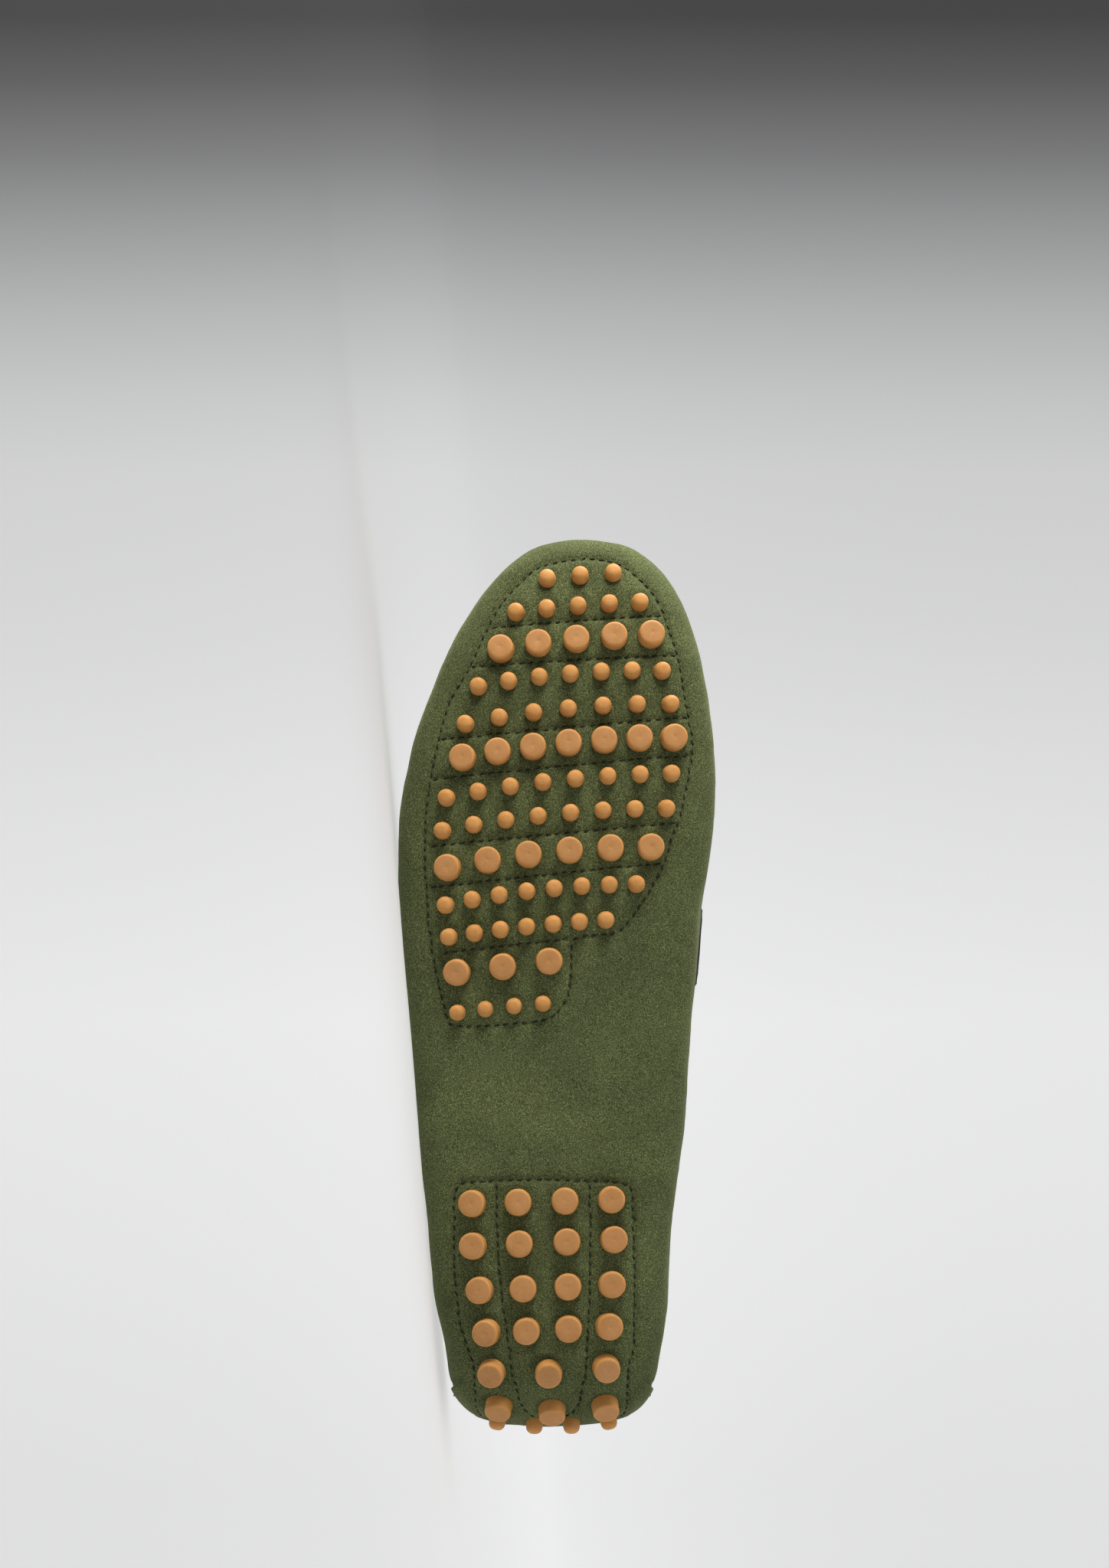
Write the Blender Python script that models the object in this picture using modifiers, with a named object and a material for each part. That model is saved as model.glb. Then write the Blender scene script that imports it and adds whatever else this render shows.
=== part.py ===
"""Driving moccasin, right shoe, men's size 42, lying on its outer side.

The shoe is worked out in its own frame, in millimetres: x to the outer side, y to the toe,
z up from the plane of the stud ends, with the back of the heel near y = 0. The last matrix
of the script lays it on its outer side on the floor, in metres.
"""
from math import cos, pi, radians, sin

import bpy
import numpy as np
from mathutils import Matrix, Vector

# Thicknesses and clearances
SUEDE = 1.8
STRAP_LEATHER = 1.3
TONGUE = 2.0
INSOLE = 2.4
PLATE = 1.5
GAP = 0.3
PLATE_GAP = 0.55
TONGUE_GAP = 0.6
HOLE_GAP = 0.35
HOLE_OVERCUT = 1.2
INSOLE_GAP = 0.75

# Rubber studs: kind, radius, sides of the prism
STUD_HEIGHT = 4.3
STUDS = {"large": (4.25, 8), "small": (2.75, 6), "little": (2.55, 6)}

# Underside: toe spring starts at a place along the shoe, the arch lies between two
TOE_SPRING_START = 195.0
TOE_SPRING = 0.00087
ARCH_BACK, ARCH_FRONT, ARCH_RISE = 75.0, 170.0, 2.5

# The last, one row for each section from toe tip to the back of the heel. A spoke runs from the
# spine in the middle of the shoe to the widest point of each side, and from there up to the edge,
# which is the apron's seam in front of the throat and the topline behind it.
COLUMNS = ("place", "spine_x", "spine_y", "out_x", "out_y", "in_x", "in_y",
           "wide_z", "edge_in", "edge_z", "lean", "corner", "crown_z", "steps")
LAST = (
    ("toe tip",      -6.5, 232.0, -10.7, 285.6, -10.7, 285.6, 27.4, 22.0, 37.5, 84, 4.0, 45.5, 2),
    ("toe front",    -6.5, 232.0,   7.5, 281.3, -28.6, 281.3, 27.0, 21.5, 37.8, 84, 4.0, 45.5, 2),
    ("toe corner",   -6.5, 232.0,  18.5, 271.2, -38.5, 271.2, 25.5, 21.0, 38.5, 84, 4.0, 45.5, 2),
    ("toe side",     -6.5, 232.0,  29.6, 255.0, -46.0, 255.0, 23.6, 20.5, 39.5, 84, 4.0, 45.5, 2),
    ("toe root",     -6.5, 232.0,  41.3, 227.7, -50.1, 236.3, 21.6, 20.0, 41.8, 83, 4.0, 45.5, 1),
    ("ball front",   -3.5, 209.0,  47.1, 204.5, -52.8, 213.8, 20.5, 20.0, 45.4, 82, 4.0, 51.0, 1),
    ("ball",         -1.7, 186.0,  49.1, 181.2, -52.1, 190.8, 20.3, 19.3, 50.6, 80, 4.0, 58.6, 1),
    ("ball back",    -0.9, 173.8,  48.7, 169.0, -51.1, 178.5, 20.3, 18.5, 54.0, 76, 4.0, 63.2, 1),
    ("throat",       -0.2, 161.5,  48.1, 156.9, -49.0, 166.1, 20.6, 17.8, 57.4, 71, 4.0, 67.8, 1),
    ("instep",        0.2, 149.5,  47.2, 145.2, -47.1, 153.9, 21.6, 16.5, 58.8, 64, 4.0, 71.5, 1),
    ("waist",         0.3, 124.5,  44.6, 121.0, -44.4, 128.0, 24.0, 14.6, 56.0, 55, 4.0, 77.0, 1),
    ("quarter",       0.2,  98.0,  42.6,  96.0, -42.4, 100.0, 23.4, 13.2, 53.7, 49, 4.0, 82.0, 1),
    ("heel front",    0.1,  78.0,  40.9,  77.5, -40.0,  79.0, 21.8, 12.3, 53.8, 46, 4.0, 82.0, 1),
    ("heel waist",   -0.1,  51.0,  37.6,  50.5, -37.6,  51.5, 21.2, 10.7, 56.0, 44, 3.8, 82.0, 1),
    ("heel",         -0.2,  38.0,  36.2,  37.5, -36.9,  38.5, 22.0,  9.5, 58.2, 42, 3.3, 82.0, 2),
    ("heel side",    -0.2,  38.0,  33.5,  24.9, -34.7,  24.9, 25.0,  8.0, 61.0, 40, 3.0, 82.0, 2),
    ("heel corner",  -0.2,  38.0,  30.6,  11.5, -31.6,  11.5, 30.0,  7.0, 63.0, 40, 2.7, 82.0, 2),
    ("heel round",   -0.2,  38.0,  23.5,   4.2, -24.5,   4.2, 32.5,  6.5, 64.0, 40, 2.5, 82.0, 2),
    ("heel quarter", -0.2,  38.0,  11.5,   1.2, -12.0,   1.2, 33.0,  6.0, 65.0, 40, 2.4, 82.0, 2),
    ("heel back",    -0.2,  38.0,  -0.2,   0.5,  -0.2,   0.5, 33.0,  6.0, 65.0, 40, 2.4, 82.0, 0),
)
THROAT_Y = 161.5

# Shares of a spoke at which the upper has a ring: underside, side wall, apron
UNDER_RINGS = (0.4, 0.7, 0.86, 0.95, 0.99, 1.0)
WALL_RINGS = (0.17, 0.36, 0.66, 1.0)
APRON_RINGS = (0.35, 0.7)

# Stud rows under the foot: kind, count, end of the outer side, end of the inner side, bow to the toe
STUD_ROWS = (
    ("small", 3, (1.4, 270.2), (-20.3, 272.1), 0.0),
    ("small", 5, (11.6, 258.8), (-29.1, 262.1), 0.1),
    ("large", 5, (16.3, 246.5), (-32.7, 251.3), 0.3),
    ("small", 7, (23.6, 234.6), (-36.1, 239.7), 0.7),
    ("small", 7, (27.7, 222.4), (-38.9, 228.9), 0.8),
    ("large", 7, (28.4, 211.2), (-39.8, 217.7), 0.7),
    ("small", 8, (33.7, 198.4), (-39.0, 206.2), 0.8),
    ("small", 8, (35.0, 187.8), (-37.3, 194.9), 0.8),
    ("large", 6, (33.2, 175.9), (-32.1, 182.4), 0.8),
    ("small", 8, (33.9, 164.0), (-27.4, 170.7), 0.8),
    ("small", 7, (32.8, 153.3), (-17.5, 158.7), 0.3),
    ("large", 3, (30.1, 141.9), (0.5, 145.4), 0.0),
    ("little", 4, (30.0, 129.5), (2.5, 132.3), 0.1),
)
HEEL_STUD_ROWS = (
    ("large", 4, (25.1, 69.9), (-19.3, 71.1), 0.0),
    ("large", 4, (24.9, 56.8), (-20.1, 58.8), 0.0),
    ("large", 4, (22.8, 43.2), (-19.5, 45.0), 0.0),
    ("large", 4, (20.9, 30.0), (-18.8, 32.0), 0.0),
    ("large", 3, (19.2, 16.8), (-17.9, 18.4), -0.4),
)
# Stud rows up the back of the heel: kind, count, outer x, inner x, height
BACK_STUD_ROWS = (
    ("large", 3, 16.2, -17.0, 15.2),
    ("small", 4, 16.6, -18.0, 22.6),
)

# The rubber plates inside the sole: outer y and x, inner y and x of each line across
FOREFOOT_PLATE = (
    (275.4, -5.0, 275.4, -17.0), (271.0, 6.0, 271.5, -25.5), (264.5, 13.0, 266.5, -31.0),
    (251.6, 20.4, 257.0, -36.6), (240.0, 26.0, 246.0, -40.4), (228.0, 31.2, 234.8, -42.6),
    (216.4, 34.8, 223.8, -44.0), (204.2, 37.2, 212.4, -44.0), (192.6, 38.8, 201.2, -42.4),
    (181.4, 39.2, 189.8, -39.0), (169.4, 38.8, 177.2, -33.4), (158.0, 37.8, 164.6, -26.0),
    (147.0, 36.2, 153.8, -17.0), (146.0, 36.0, 151.6, -5.4), (134.0, 33.8, 137.6, -4.8),
    (125.4, 31.5, 127.6, -1.4),
)
HEEL_PLATE_UNDER = (
    (76.0, 29.4, 76.0, -23.6), (63.4, 29.8, 64.8, -25.2), (50.0, 29.0, 51.8, -25.2),
    (36.6, 28.0, 38.4, -25.2), (28.0, 27.2, 29.0, -25.1), (21.5, 26.6, 22.0, -25.0), (16.0, 25.8, 16.4, -24.8),
)
# The same plate up the back of the heel: height, outer x, inner x
HEEL_PLATE_BACK = ((13.0, 24.8, -24.6), (17.5, 24.2, -24.4), (22.5, 22.8, -23.2), (29.0, 20.4, -21.0))
PLATE_COLUMNS = 6

INSOLE_INNER_RING, INSOLE_EDGE, INSOLE_HEEL_CUT = 0.45, 0.8, 0.09
SEAM_RADIUS = 1.7
SEAM_END_Y = 182.0

# Saddle strap: lowest heights, middle of its width along the shoe, half widths, and how much
# higher the front corner of each end lies than the rear one
STRAP_OUTER_Z, STRAP_INNER_Z = 42.0, 27.0
STRAP_END_Y, STRAP_TOP_SHIFT = 149.0, 18.0
STRAP_END_HALF, STRAP_TOP_HALF = 13.0, 12.0
STRAP_END_SLANT = 6.0
STRAP_WALL_STEPS, STRAP_TOP_STEPS, STRAP_ROWS = 6, 8, 3

# Tongue: place along the shoe, half width
TONGUE_ROWS = ((188.0, 21.0), (176.0, 22.0), (164.0, 22.5), (152.0, 22.5), (140.0, 22.0), (130.0, 18.5),
               (126.0, 13.0))
TONGUE_COLUMNS = 6

# How the shoe lies: the floor's direction turns from the outer side by these angles towards the
# heel and the instep, and the soft side is pressed flat by a little
REST_TO_HEEL, REST_TO_INSTEP = radians(5.0), radians(1.0)
PRESSED = 0.8

MM = 0.001


def column(name):
    """One column of the last as numbers."""
    place = COLUMNS.index(name)
    return np.array([row[place] for row in LAST], float)


OUTER = np.column_stack([column("out_x"), column("out_y")])
INNER = np.column_stack([column("in_x"), column("in_y")])
RUN = 0.5 * (np.linalg.norm(np.diff(OUTER, axis=0), axis=1) + np.linalg.norm(np.diff(INNER, axis=0), axis=1))
STATION = np.concatenate([[0.0], np.cumsum(RUN)])
HALF_LOOP = STATION[-1]
KNOTS = np.concatenate([STATION, 2 * HALF_LOOP - STATION[-2:0:-1], [2 * HALF_LOOP]])


def curvatures(values):
    """Second derivatives of the closed cubic spline through the values at the knots."""
    gaps = np.diff(KNOTS)
    count = len(values)
    table = np.zeros((count, count))
    right = np.zeros(count)
    for i in range(count):
        before, after = gaps[i - 1], gaps[i]
        table[i, i - 1] = before / 6
        table[i, i] = (before + after) / 3
        table[i, (i + 1) % count] = after / 6
        right[i] = (values[(i + 1) % count] - values[i]) / after - (values[i] - values[i - 1]) / before
    return np.linalg.solve(table, right)


def closed_spline(outer_values, inner_values):
    """A function of the way round the shoe through both sides' values."""
    values = np.concatenate([outer_values, inner_values[-2:0:-1]])
    bends = curvatures(values)
    count = len(values)

    def at(way):
        way = way % KNOTS[-1]
        i = min(int(np.searchsorted(KNOTS, way, side="right")) - 1, count - 1)
        j = (i + 1) % count
        gap = KNOTS[i + 1] - KNOTS[i]
        back, ahead = (KNOTS[i + 1] - way) / gap, (way - KNOTS[i]) / gap
        bend = (back ** 3 - back) * bends[i] + (ahead ** 3 - ahead) * bends[j]
        return back * values[i] + ahead * values[j] + bend * gap * gap / 6

    return at


OUTLINE_X = closed_spline(OUTER[:, 0], INNER[:, 0])
OUTLINE_Y = closed_spline(OUTER[:, 1], INNER[:, 1])
SMOOTH = {name: closed_spline(column(name), column(name)) for name in ("wide_z", "edge_in", "edge_z")}
STRAIGHT = {name: column(name) for name in ("spine_x", "spine_y", "lean", "corner", "crown_z")}


def spoke(way):
    """The sizes of one spoke, at a way round the shoe from the toe tip by the outer side."""
    folded = way if way <= HALF_LOOP else 2 * HALF_LOOP - way
    sizes = {name: float(np.interp(folded, STATION, values)) for name, values in STRAIGHT.items()}
    sizes.update({name: float(curve(way)) for name, curve in SMOOTH.items()})
    sizes["spine"] = np.array([sizes["spine_x"], sizes["spine_y"]])
    sizes["outline"] = np.array([OUTLINE_X(way), OUTLINE_Y(way)])
    sizes["reach"] = float(np.linalg.norm(sizes["outline"] - sizes["spine"]))
    sizes["heading"] = (sizes["outline"] - sizes["spine"]) / sizes["reach"]
    return sizes


def ground(y):
    """Height of the suede in the middle of the sole: studs, toe spring and arch."""
    height = STUD_HEIGHT
    if y > TOE_SPRING_START:
        height += TOE_SPRING * (y - TOE_SPRING_START) ** 2
    if ARCH_BACK < y < ARCH_FRONT:
        height += ARCH_RISE * sin(pi * (y - ARCH_BACK) / (ARCH_FRONT - ARCH_BACK)) ** 2
    return height


def under_point(line, share):
    """A point of the underside, at a share of the spoke from spine to outline."""
    flat = line["spine"] + share * (line["outline"] - line["spine"])
    rise = 1 - max(0.0, 1 - share ** line["corner"]) ** (1 / line["corner"])
    height = ground(flat[1]) + (line["wide_z"] - ground(line["outline"][1])) * rise
    return np.array([flat[0], flat[1], height])


def wall_point(line, share):
    """A point of the side wall, at a share of the way from the widest point to the edge."""
    lean = radians(line["lean"])
    inward = line["edge_in"] * (1 - cos(lean * share)) / (1 - cos(lean))
    height = line["wide_z"] + (line["edge_z"] - line["wide_z"]) * sin(lean * share) / sin(lean)
    flat = line["outline"] - inward * line["heading"]
    return np.array([flat[0], flat[1], height])


def apron_point(line, share):
    """A point of the apron, at a share of the way from the seam to the crown over the spine."""
    edge = line["outline"] - line["edge_in"] * line["heading"]
    flat = edge + share * (line["spine"] - edge)
    height = line["edge_z"] + (line["crown_z"] - line["edge_z"]) * (1 - (1 - share) ** 2)
    return np.array([flat[0], flat[1], height])


def level_point(line, level):
    """Underside for levels 0 to 1, side wall for levels 1 to 2."""
    return under_point(line, level) if level <= 1 else wall_point(line, level - 1)


def bisect(test, low, high, rounds=40):
    """The place between low and high where the test turns from true to false."""
    for _ in range(rounds):
        middle = (low + high) / 2
        if test(middle):
            low = middle
        else:
            high = middle
    return (low + high) / 2


def way_through(x, y):
    """The way round at which a spoke passes through a point of the plan."""
    spine_x = float(np.interp(-y, -STRAIGHT["spine_y"], STRAIGHT["spine_x"]))
    outer = x >= spine_x
    point = np.array([x, y])

    def before(way):
        line = spoke(way if outer else 2 * HALF_LOOP - way)
        offset = point - line["spine"]
        turn = line["heading"][0] * offset[1] - line["heading"][1] * offset[0]
        return turn < 0 if outer else turn > 0

    way = bisect(before, 0.0, HALF_LOOP)
    return way if outer else 2 * HALF_LOOP - way


def underside(x, y):
    """The point of the underside over a point of the plan."""
    line = spoke(way_through(x, y))
    share = min(1.0, float(np.linalg.norm(np.array([x, y]) - line["spine"])) / line["reach"])
    return under_point(line, share)


def underside_normal(x, y, step=0.4):
    """The outward direction of the underside, downward."""
    slope_x = (underside(x + step, y)[2] - underside(x - step, y)[2]) / (2 * step)
    slope_y = (underside(x, y + step)[2] - underside(x, y - step)[2]) / (2 * step)
    normal = np.array([slope_x, slope_y, -1.0])
    return normal / np.linalg.norm(normal)


def heel_back(x, z):
    """The point on the back of the heel at a height, with its outward direction."""

    def level_at(line):
        return bisect(lambda level: level_point(line, level)[2] < z, 0.0, 2.0)

    def place(way):
        line = spoke(way)
        return level_point(line, level_at(line))

    way = bisect(lambda way: place(way)[0] > x, 0.75 * HALF_LOOP, 1.25 * HALF_LOOP)
    line = spoke(way)
    level = level_at(line)
    along = place(way + 0.5) - place(way - 0.5)
    up = level_point(line, level + 0.01) - level_point(line, level - 0.01)
    normal = np.cross(up, along)
    normal /= np.linalg.norm(normal)
    if normal[1] > 0:
        normal = -normal
    return level_point(line, level), normal


def side_way(y, outer):
    """The way round of the spoke that starts from the spine at y."""
    way = bisect(lambda way: np.interp(way, STATION, STRAIGHT["spine_y"]) > y, 0.0, HALF_LOOP)
    return way if outer else 2 * HALF_LOOP - way


def section_point(y, level, outer):
    """A point of the cross-section at y: side wall for levels 0 to 1, apron for levels 1 to 2."""
    line = spoke(side_way(y, outer))
    return wall_point(line, level) if level <= 1 else apron_point(line, level - 1)


def section_normal(y, level, outer):
    """The outward direction of the side wall or the apron."""
    along = section_point(y + 1, level, outer) - section_point(y - 1, level, outer)
    up = section_point(y, level + 0.03, outer) - section_point(y, level - 0.03, outer)
    normal = np.cross(along, up)
    normal /= np.linalg.norm(normal)
    return normal if outer else -normal


def collection(name):
    """A collection of the scene."""
    made = bpy.data.collections.new(name)
    bpy.context.scene.collection.children.link(made)
    return made


def material(name, colour, roughness):
    """A Principled material with one colour."""
    made = bpy.data.materials.new(name)
    made.use_nodes = True
    shader = made.node_tree.nodes["Principled BSDF"]
    shader.inputs["Base Color"].default_value = (*colour, 1.0)
    shader.inputs["Roughness"].default_value = roughness
    shader.inputs["Metallic"].default_value = 0.0
    return made


def mesh_object(name, points, faces, home, finish=None):
    """An object from points in millimetres of the shoe's frame."""
    mesh = bpy.data.meshes.new(name)
    mesh.from_pydata([tuple(float(v) * MM for v in point) for point in points], [], faces)
    mesh.update()
    made = bpy.data.objects.new(name, mesh)
    home.objects.link(made)
    if finish is not None:
        mesh.materials.append(finish)
    return made


def cutter_object(name, points, faces, home):
    """An object that only cuts or joins, out of sight."""
    made = mesh_object(name, points, faces, home)
    made.hide_render = True
    made.display_type = "WIRE"
    return made


def thicken(body, thickness, side):
    """Solidify an open sheet towards side -1 (inward) or 1 (outward)."""
    shell = body.modifiers.new("wall", "SOLIDIFY")
    shell.thickness = thickness * MM
    shell.offset = side
    shell.use_even_offset = True
    shell.use_rim = True


def combine(body, other, operation):
    """Join or cut with another solid."""
    change = body.modifiers.new(other.name, "BOOLEAN")
    change.object = other
    change.operation = operation
    change.solver = "EXACT"


def grid_faces(rows, columns):
    """Faces of a sheet of points stored row by row."""
    return [
        (r * columns + c, r * columns + c + 1, (r + 1) * columns + c + 1, (r + 1) * columns + c)
        for r in range(rows - 1)
        for c in range(columns - 1)
    ]


def ways_round():
    """The ways round of all spokes, from the toe tip by the outer side and back."""
    half = []
    steps = column("steps").astype(int)
    for i in range(len(LAST) - 1):
        half += list(np.linspace(STATION[i], STATION[i + 1], steps[i], endpoint=False))
    half.append(HALF_LOOP)
    return half + [2 * HALF_LOOP - way for way in half[-2:0:-1]]


class Sheet:
    """Points and faces of an open sheet that meets itself along the spine."""

    def __init__(self):
        self.points = []
        self.faces = []
        self.shared = {}

    def add(self, point):
        """A new point."""
        self.points.append(point)
        return len(self.points) - 1

    def add_shared(self, point):
        """A point that both sides of the shoe use."""
        key = tuple(round(float(v), 3) for v in point)
        if key not in self.shared:
            self.shared[key] = self.add(point)
        return self.shared[key]

    def face(self, *corners):
        """A face, without repeated corners."""
        kept = [c for i, c in enumerate(corners) if c != corners[i - 1]]
        if len(kept) > 2:
            self.faces.append(tuple(kept))


def spine_point(line, height):
    """A point over the spine."""
    return np.array([line["spine"][0], line["spine"][1], height])


def upper_sheet():
    """The outer skin of the upper: underside, side wall and apron, open behind the throat."""
    sheet = Sheet()
    ways = ways_round()
    lines = [spoke(way) for way in ways]
    columns = []
    for line in lines:
        ids = [sheet.add_shared(spine_point(line, ground(line["spine"][1])))]
        ids += [sheet.add(under_point(line, share)) for share in UNDER_RINGS]
        ids += [sheet.add(wall_point(line, share)) for share in WALL_RINGS]
        if line["spine"][1] >= THROAT_Y - 0.01:
            ids += [sheet.add(apron_point(line, share)) for share in APRON_RINGS]
            ids.append(sheet.add_shared(spine_point(line, line["crown_z"])))
        columns.append(ids)
    for i, ids in enumerate(columns):
        following = columns[(i + 1) % len(columns)]
        for k in range(min(len(ids), len(following)) - 1):
            sheet.face(ids[k + 1], following[k + 1], following[k], ids[k])
    return sheet


def floor_direction():
    """The direction of the floor from the shoe, in the shoe's frame."""
    level = cos(REST_TO_INSTEP)
    return np.array([level * cos(REST_TO_HEEL), -level * sin(REST_TO_HEEL), sin(REST_TO_INSTEP)])


def press_flat(points):
    """Move what lies beyond the floor's plane onto it, and return the plane's distance."""
    down = floor_direction()
    plane = max(float(point @ down) for point in points) - PRESSED
    for i, point in enumerate(points):
        beyond = float(point @ down) - plane
        if beyond > 0:
            points[i] = point - beyond * down
    return plane


def lay_down(made, plane):
    """Turn every object from the shoe's frame onto the floor, centred over the origin."""
    down = floor_direction()
    toe = np.array([0.0, 1.0, 0.0])
    toe = toe - (toe @ down) * down
    toe /= np.linalg.norm(toe)
    turn = Matrix([(-toe).tolist(), np.cross(down, toe).tolist(), (-down).tolist()]).to_4x4()
    for each in made:
        each.data.transform(turn)
    depsgraph = bpy.context.evaluated_depsgraph_get()
    corners = []
    for each in made:
        if not each.hide_render:
            corners += [vertex.co.copy() for vertex in each.evaluated_get(depsgraph).data.vertices]
    middle_x = (min(c.x for c in corners) + max(c.x for c in corners)) / 2
    middle_y = (min(c.y for c in corners) + max(c.y for c in corners)) / 2
    for each in made:
        each.location = Vector((-middle_x, -middle_y, plane * MM))


def seam_tube(home):
    """The raised seam round the apron, as a solid to join to the upper."""
    curve = bpy.data.curves.new("raised_seam", "CURVE")
    curve.dimensions = "3D"
    curve.bevel_depth = SEAM_RADIUS * MM
    curve.bevel_resolution = 1
    curve.use_fill_caps = True
    end = side_way(SEAM_END_Y, True)
    outer = [way for way in ways_round() if way < end - 2]
    inner = [way for way in ways_round() if way > 2 * HALF_LOOP - end + 2]
    route = [2 * HALF_LOOP - end] + inner + outer + [end]
    line = curve.splines.new("POLY")
    line.points.add(len(route) - 1)
    for place, way in zip(line.points, route):
        edge = wall_point(spoke(way), 1.0)
        place.co = (edge[0] * MM, edge[1] * MM, edge[2] * MM, 1.0)
    drawn = bpy.data.objects.new("raised_seam_route", curve)
    home.objects.link(drawn)
    depsgraph = bpy.context.evaluated_depsgraph_get()
    mesh = bpy.data.meshes.new_from_object(drawn.evaluated_get(depsgraph))
    bpy.data.objects.remove(drawn)
    made = bpy.data.objects.new("raised_seam", mesh)
    made.hide_render = True
    made.display_type = "WIRE"
    home.objects.link(made)
    return made


def stud_places(rows):
    """Kind, base point and outward direction of each stud under the foot."""
    places = []
    for kind, count, outer, inner, bow in rows:
        for i in range(count):
            share = i / (count - 1)
            x = outer[0] + share * (inner[0] - outer[0])
            y = outer[1] + share * (inner[1] - outer[1]) + bow * (1 - 2 * (2 * share - 1) ** 2)
            tilt = underside_normal(x, y)
            x, y = x - STUD_HEIGHT * tilt[0], y - STUD_HEIGHT * tilt[1]
            places.append((kind, underside(x, y), underside_normal(x, y)))
    return places


def back_stud_places():
    """The same for the rows up the back of the heel."""
    places = []
    for kind, count, outer_x, inner_x, height in BACK_STUD_ROWS:
        for i in range(count):
            base, outward = heel_back(outer_x + i / (count - 1) * (inner_x - outer_x), height)
            places.append((kind, base, outward))
    return places


def prisms(places, rings_of):
    """Closed prisms along the studs' directions, from rings of depth and radius."""
    points, faces = [], []
    for kind, base, outward in places:
        radius, sides = STUDS[kind]
        across = np.cross(outward, (0.0, 1.0, 0.0) if abs(outward[1]) < 0.7 else (1.0, 0.0, 0.0))
        across /= np.linalg.norm(across)
        aside = np.cross(outward, across)
        rings = rings_of(radius)
        first = len(points)
        for depth, ring_radius in rings:
            for k in range(sides):
                turn = 2 * pi * (k + 0.5) / sides
                rim = ring_radius / cos(pi / sides) ** 0.5
                points.append(base + depth * outward + rim * (cos(turn) * across + sin(turn) * aside))
        for r in range(len(rings) - 1):
            low, high = first + r * sides, first + (r + 1) * sides
            for k in range(sides):
                following = (k + 1) % sides
                faces.append((low + k, low + following, high + following, high + k))
        last = first + (len(rings) - 1) * sides
        faces.append(tuple(first + k for k in reversed(range(sides))))
        faces.append(tuple(last + k for k in range(sides)))
    return points, faces


def stud_rings(plate_gap):
    """Rings of a stud that starts half-way into its plate."""
    start = -(SUEDE + plate_gap + PLATE / 2)

    def rings(radius):
        return ((start, radius), (STUD_HEIGHT, radius))

    return rings


def hole_rings(radius):
    """Rings of the cutter for a stud's hole in the suede."""
    return ((-(SUEDE + HOLE_OVERCUT), radius + HOLE_GAP), (HOLE_OVERCUT, radius + HOLE_GAP))


def offset(point, normal, distance):
    """A point moved along the outward direction."""
    return np.asarray(point) + distance * np.asarray(normal)


def plate_lines(table, depth):
    """Points of a plate's lines across the underside, from the inner to the outer side."""
    points = []
    for outer_y, outer_x, inner_y, inner_x in table:
        for share in np.linspace(0.0, 1.0, PLATE_COLUMNS):
            x, y = inner_x + share * (outer_x - inner_x), inner_y + share * (outer_y - inner_y)
            points.append(offset(underside(x, y), underside_normal(x, y), depth))
    return points


def forefoot_plate_sheet():
    """The outer face of the forefoot plate."""
    points = plate_lines(FOREFOOT_PLATE, -(SUEDE + PLATE_GAP))
    return points, grid_faces(len(FOREFOOT_PLATE), PLATE_COLUMNS)


def heel_plate_sheet():
    """The outer face of the heel plate, under the heel and up its back."""
    points = plate_lines(HEEL_PLATE_UNDER, -(SUEDE + PLATE_GAP))
    for height, outer_x, inner_x in HEEL_PLATE_BACK:
        for x in np.linspace(inner_x, outer_x, PLATE_COLUMNS):
            point, normal = heel_back(x, height)
            points.append(offset(point, normal, -(SUEDE + PLATE_GAP)))
    return points, grid_faces(len(HEEL_PLATE_UNDER) + len(HEEL_PLATE_BACK), PLATE_COLUMNS)


def insole_sheet():
    """The lower face of the insole, over both plates."""
    sheet = Sheet()
    depth = -(SUEDE + PLATE_GAP + PLATE + INSOLE_GAP)
    columns = []
    for way in ways_round():
        line = spoke(way)
        middle = spine_point(line, ground(line["spine"][1]))
        ids = [sheet.add_shared(middle + np.array([0.0, 0.0, -depth]))]
        edge = INSOLE_EDGE - INSOLE_HEEL_CUT * (4.0 - line["corner"])
        for share in (INSOLE_INNER_RING, edge):
            point = under_point(line, share)
            ids.append(sheet.add(offset(point, underside_normal(point[0], point[1]), depth)))
        columns.append(ids)
    for i, ids in enumerate(columns):
        following = columns[(i + 1) % len(columns)]
        for k in range(len(ids) - 1):
            sheet.face(ids[k + 1], following[k + 1], following[k], ids[k])
    return sheet


def strap_sheet():
    """The inner face of the saddle strap, from the outer side over the instep to the inner side."""
    columns = []
    for outer in (True, False):
        run = [("wall", share) for share in np.linspace(0.0, 1.0, STRAP_WALL_STEPS + 1)]
        run += [("apron", share) for share in np.linspace(0.0, 1.0, STRAP_TOP_STEPS // 2 + 1)[1:]]
        low_z = STRAP_OUTER_Z if outer else STRAP_INNER_Z
        side = []
        for i, (part, share) in enumerate(run):
            rise = sin(pi / 2 * i / (len(run) - 1))
            middle = STRAP_END_Y + STRAP_TOP_SHIFT * rise
            half = STRAP_END_HALF + (STRAP_TOP_HALF - STRAP_END_HALF) * rise
            row = []
            for y in np.linspace(middle - half, middle + half, STRAP_ROWS + 1):
                line = spoke(side_way(y, outer))
                end_z = low_z + STRAP_END_SLANT * (y - middle + half) / (2 * half)
                lowest = bisect(lambda s: wall_point(line, s)[2] < end_z, 0.0, 1.0)
                level = lowest + share * (1 - lowest) if part == "wall" else 1 + share
                point = section_point(y, level, outer)
                normal = section_normal(y, min(level, 1.97), outer)
                row.append(offset(point, normal, GAP))
            side.append(row)
        columns.append(side)
    rows = columns[0] + columns[1][-2::-1]
    points = [point for row in rows for point in row]
    return points, grid_faces(len(rows), STRAP_ROWS + 1)


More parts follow.
